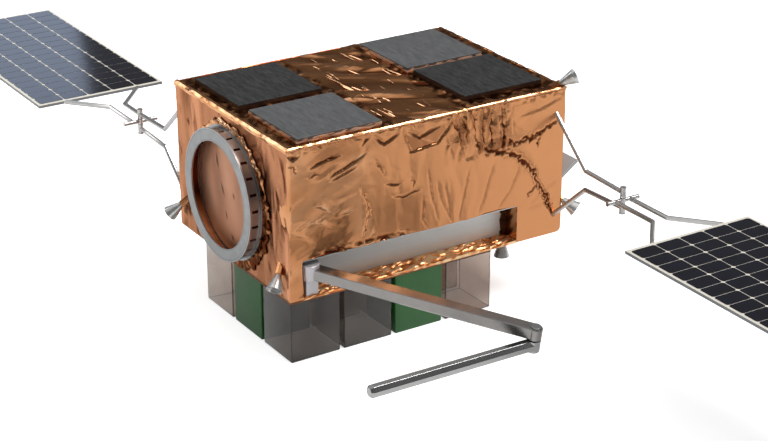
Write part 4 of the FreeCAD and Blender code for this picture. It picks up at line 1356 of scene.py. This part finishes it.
class SATELLITE_OT_stage(bpy.types.Operator):
    """Sets the camera, the floor and the lamps"""

    bl_idname = "satellite.stage"
    bl_label = "Studio"

    def execute(self, context):
        values = context.scene.satellite_stage
        # a long lens, looking down on the ring end and the arm side
        clear_selection()
        bpy.ops.object.camera_add(location=values.place, rotation=(values.tilt, 0, -values.turn))
        context.scene.camera = bpy.context.object
        context.scene.camera.data.lens = values.lens
        context.scene.camera.data.clip_end = 500
        self.floor(values)
        self.lamps(values.key)
        context.scene.world = bpy.data.worlds.new("studio")
        self.room(context.scene.world)
        context.scene.view_settings.view_transform = "Standard"
        return {"FINISHED"}

    def floor(self, values):
        """A pale floor that keeps a faint shadow; it ends a little in front of the part."""
        clear_selection()
        bpy.ops.mesh.primitive_plane_add(size=1, location=(7.5, 27.2, -0.5 * MM))
        bpy.ops.transform.resize(value=(75, 65.4, 1))
        floor = named("studio_floor")
        material = bpy.data.materials.new("pale_floor")
        tree = emptied(material)
        seen = add_node(tree, "ShaderNodeLightPath").outputs
        strength = 0.0
        shares = {"Camera": values.glow, "Transmission": values.through, "Glossy": values.sheen}
        for way, share in shares.items():
            strength = maths(tree, "MULTIPLY_ADD", seen[f"Is {way} Ray"], share, strength)
        diffuse = add_node(tree, "ShaderNodeBsdfDiffuse", {"Color": linear(values.floor)})
        glow = add_node(tree, "ShaderNodeEmission", {"Color": (1, 1, 1, 1), "Strength": strength})
        both = add_node(tree, "ShaderNodeAddShader", {0: diffuse.outputs[0], 1: glow.outputs[0]})
        add_node(tree, "ShaderNodeOutputMaterial", {"Surface": both.outputs[0]})
        floor.data.materials.append(material)

    def lamps(self, strength):
        """A soft key from the front right and the softboxes behind."""
        key = add_lamp("key", "SUN", KEY_PLACE)
        key.energy = strength
        key.angle = math.radians(22)
        for name, place, width, height, brightness, colour in SOFTBOXES:
            box = add_lamp(name, "AREA", Vector(place))
            box.shape = "RECTANGLE"
            box.size, box.size_y = width, height
            box.energy = brightness * math.pi * width * height
            box.color = colour

    def room(self, world):
        """A dim room with a bright ceiling; the camera sees it white."""
        tree = emptied(world)
        height = split(tree, add_node(tree, "ShaderNodeTexCoord").outputs["Generated"])["Z"]
        room = ramp(tree, height, (0.0, 0.42), (0.01, 0.12), (0.60, 0.17), (0.90, 0.98))
        seen = add_node(tree, "ShaderNodeLightPath").outputs
        either = maths(tree, "MAXIMUM", seen["Is Camera Ray"], seen["Is Transmission Ray"])
        colour = mix(tree, either, room, (1, 1, 1, 1))
        light = add_node(tree, "ShaderNodeBackground", {"Color": colour, "Strength": 1.0})
        add_node(tree, "ShaderNodeOutputWorld", {"Surface": light.outputs[0]})


def emptied(owner):
    """The node tree of a material or a world, with nothing in it."""
    owner.use_nodes = True
    owner.node_tree.nodes.clear()
    return owner.node_tree


def add_lamp(name, kind, place):
    """A lamp at a place, looking to the middle of the part."""
    clear_selection()
    bpy.ops.object.light_add(type=kind, location=place, rotation=(-place).to_track_quat("-Z", "Y").to_euler())
    bpy.context.object.name = name
    return bpy.context.object.data


# ---------------------------------------------------------------- panel and registering


STEPS = (
    SATELLITE_OT_stage,
    SATELLITE_OT_arm_side_foil,
    SATELLITE_OT_foil,
    SATELLITE_OT_deck_folds,
    SATELLITE_OT_hems,
    SATELLITE_OT_recess,
    SATELLITE_OT_ring,
    SATELLITE_OT_deck,
    SATELLITE_OT_boxes,
    SATELLITE_OT_thrusters,
    SATELLITE_OT_struts,
    SATELLITE_OT_panels,
    SATELLITE_OT_arm,
    SATELLITE_OT_antenna,
)
SETTINGS = {
    "satellite_foil": FoilSettings,
    "satellite_ring": RingSettings,
    "satellite_boxes": BoxSettings,
    "satellite_stage": StageSettings,
}


class SATELLITE_PT_steps(bpy.types.Panel):
    """Lists the steps and their settings"""

    bl_idname = "SATELLITE_PT_steps"
    bl_label = "Satellite"
    bl_space_type = "VIEW_3D"
    bl_region_type = "UI"
    bl_category = "Satellite"

    def draw(self, context):
        for step in STEPS:
            self.layout.operator(step.bl_idname)
        for name, group in SETTINGS.items():
            column = self.layout.column()
            for setting in group.__annotations__:
                column.prop(getattr(context.scene, name), setting)


def register():
    """Registers the settings, the steps and the panel."""
    for group in (*SETTINGS.values(), *STEPS, SATELLITE_PT_steps):
        bpy.utils.register_class(group)
    for name, group in SETTINGS.items():
        setattr(bpy.types.Scene, name, bpy.props.PointerProperty(type=group))


def unregister():
    """Takes everything out again."""
    for name in SETTINGS:
        delattr(bpy.types.Scene, name)
    for group in (SATELLITE_PT_steps, *reversed(STEPS), *SETTINGS.values()):
        bpy.utils.unregister_class(group)


def main():
    """Runs every step in order."""
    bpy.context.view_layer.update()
    register()
    for step in STEPS:
        area, name = step.bl_idname.split(".")
        getattr(getattr(bpy.ops, area), name)()


if __name__ == "__main__":
    main()
